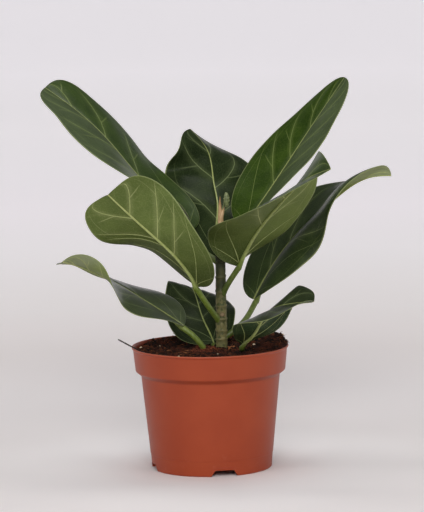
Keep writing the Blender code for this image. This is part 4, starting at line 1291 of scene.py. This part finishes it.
def strewn(name, kind, density, sizes, seed, material, rounding=2, on=ground_mesh):
    """Bits strewn so many to a square metre, from the smallest to the largest size in mm."""
    smallest, largest = (size * MM for size in sizes)
    amounts = {"Density": density, "Smallest": smallest, "Largest": largest}
    mesh = grown(name, on, SCATTERS[kind], Seed=seed, Finish=material, Rounding=rounding, **amounts)
    mesh.shade_smooth()
    added(name, mesh, "compost", "soil")


def earth_like(name, dark, light, size):
    """A plain earthy finish between two screen colours, in patches of that size in mm."""
    paint = Paint(name, Roughness=0.9, Specular_IOR_Level=0.2)
    spot = paint.place()
    shade = paint.mixed(paint.noise(spot, size * MM, 3).rise(0.35, 0.65), colour(*dark), colour(*light))
    return paint.finish(shade, None, paint.noise(spot, 0.5 * MM, 3), 0.3 * MM, 0.7)


added("compost", soil_mesh, "compost", "soil")
crumb = earth_like("crumb", (14, 8, 6), (74, 38, 24), 5)
clod = earth_like("clod", (30, 17, 12), (82, 48, 30), 4)
flake = earth_like("flake", (92, 48, 28), (140, 84, 50), 5)
reddish = earth_like("reddish coir", (84, 38, 26), (150, 84, 58), 3)
strewn("compost_crumbs", "crumbs", 150000, (0.35, 1.15), 3, crumb, 1)
strewn("compost_clods", "crumbs", 9000, (1.3, 2.4), 8, clod)
strewn("bark_flakes", "crumbs", 1300, (1.2, 2.2), 21, flake)
strewn("coir_tuft", "fibres", 900000, (0.45, 1.1), 11, reddish, on=tuft_ground)
LAID_CHIPS = (
    (-20.3, -16.6, 4.6, 0.7, 8), (-15.6, -11, 4.0, 0.6, -6), (18, -1.7, 4.6, 0.8, 14),
    (20, 6, 3.4, 0.6, -25), (-33, 3, 3.2, 0.8, 50), (30, 8, 3.0, 0.7, -60), (-24, -28, 3.8, 0.6, -15),
)
LAID_GRAINS = ((21.1, -45.9, 1.5), (34.3, -10.2, 1.3), (-54.2, 8, 1.3), (-40, 14, 1.0), (6, -33, 0.9))


def laid(name, places, material):
    """Single bits lying where they are seen: each place is x, y, the half length, half width and turn."""
    bits = bmesh.new()
    for index, (x, y, long, wide, turn) in enumerate(places):
        made = bmesh.ops.create_icosphere(bits, subdivisions=2, radius=MM)["verts"]
        level = soil_height(x * MM, y * MM) + 0.35 * wide * MM
        for vert in made:
            vert.co *= 1 + 0.3 * noise.noise(vert.co / MM * 1.3 + Vector((index * 7, 0, 0)))
            vert.co = Vector((vert.co.x * long, vert.co.y * wide, vert.co.z * min(0.7 * wide, 0.9)))
        shift = Matrix.Translation((x * MM, y * MM, level))
        bmesh.ops.transform(bits, matrix=shift @ Matrix.Rotation(math.radians(turn), 4, "Z"), verts=made)
    mesh = mesh_of(name, bits)
    mesh.shade_smooth()
    mesh.materials.append(material)
    added(name, mesh, "compost", "soil")


laid("wood_chips", LAID_CHIPS, earth_like("wood chip", (112, 68, 42), (164, 108, 70), 3))
white_grain = earth_like("white grain", (204, 172, 136), (236, 218, 190), 2)
laid("white_grains", [(x, y, size, 0.85 * size, 40 * x) for x, y, size in LAID_GRAINS], white_grain)
coir = earth_like("coir", (66, 34, 20), (140, 82, 46), 6)
strewn("coir_fibres", "fibres", 30000, (0.5, 1.5), 5, coir)
perlite = earth_like("perlite", (196, 164, 128), (230, 212, 184), 2)
strewn("perlite", "crumbs", 900, (0.6, 1.3), 14, perlite)


# Bark stick
# A thin dry stick, stuck in the compost at the left, that leans out over the rim.
STICK_POINTS = (
    (-45, -11, 88.5), (-52, -12.3, 93.2), (-59.5, -13.8, 97.1), (-65, -14.6, 100.3), (-71.5, -15, 104),
)
STICK_RADIUS = 0.55 * MM
STICK_STEPS = 40
stations, read = natural_curve(STICK_POINTS)
stick_places = read(np.linspace(0, stations[-1], STICK_STEPS))[0]
knots = [noise.noise(Vector((0, 0, i * 0.45))) for i in range(STICK_STEPS - 1)]
stick_radii = [STICK_RADIUS * (1 + 0.22 * knot) for knot in knots] + [0.4 * STICK_RADIUS]
stick_finish = earth_like("dry stick", (30, 22, 20), (66, 50, 44), 2)
added_tubes("dry_stick", [(stick_places, stick_radii)], stick_finish, 10, "dark_bark", "bark_stick")
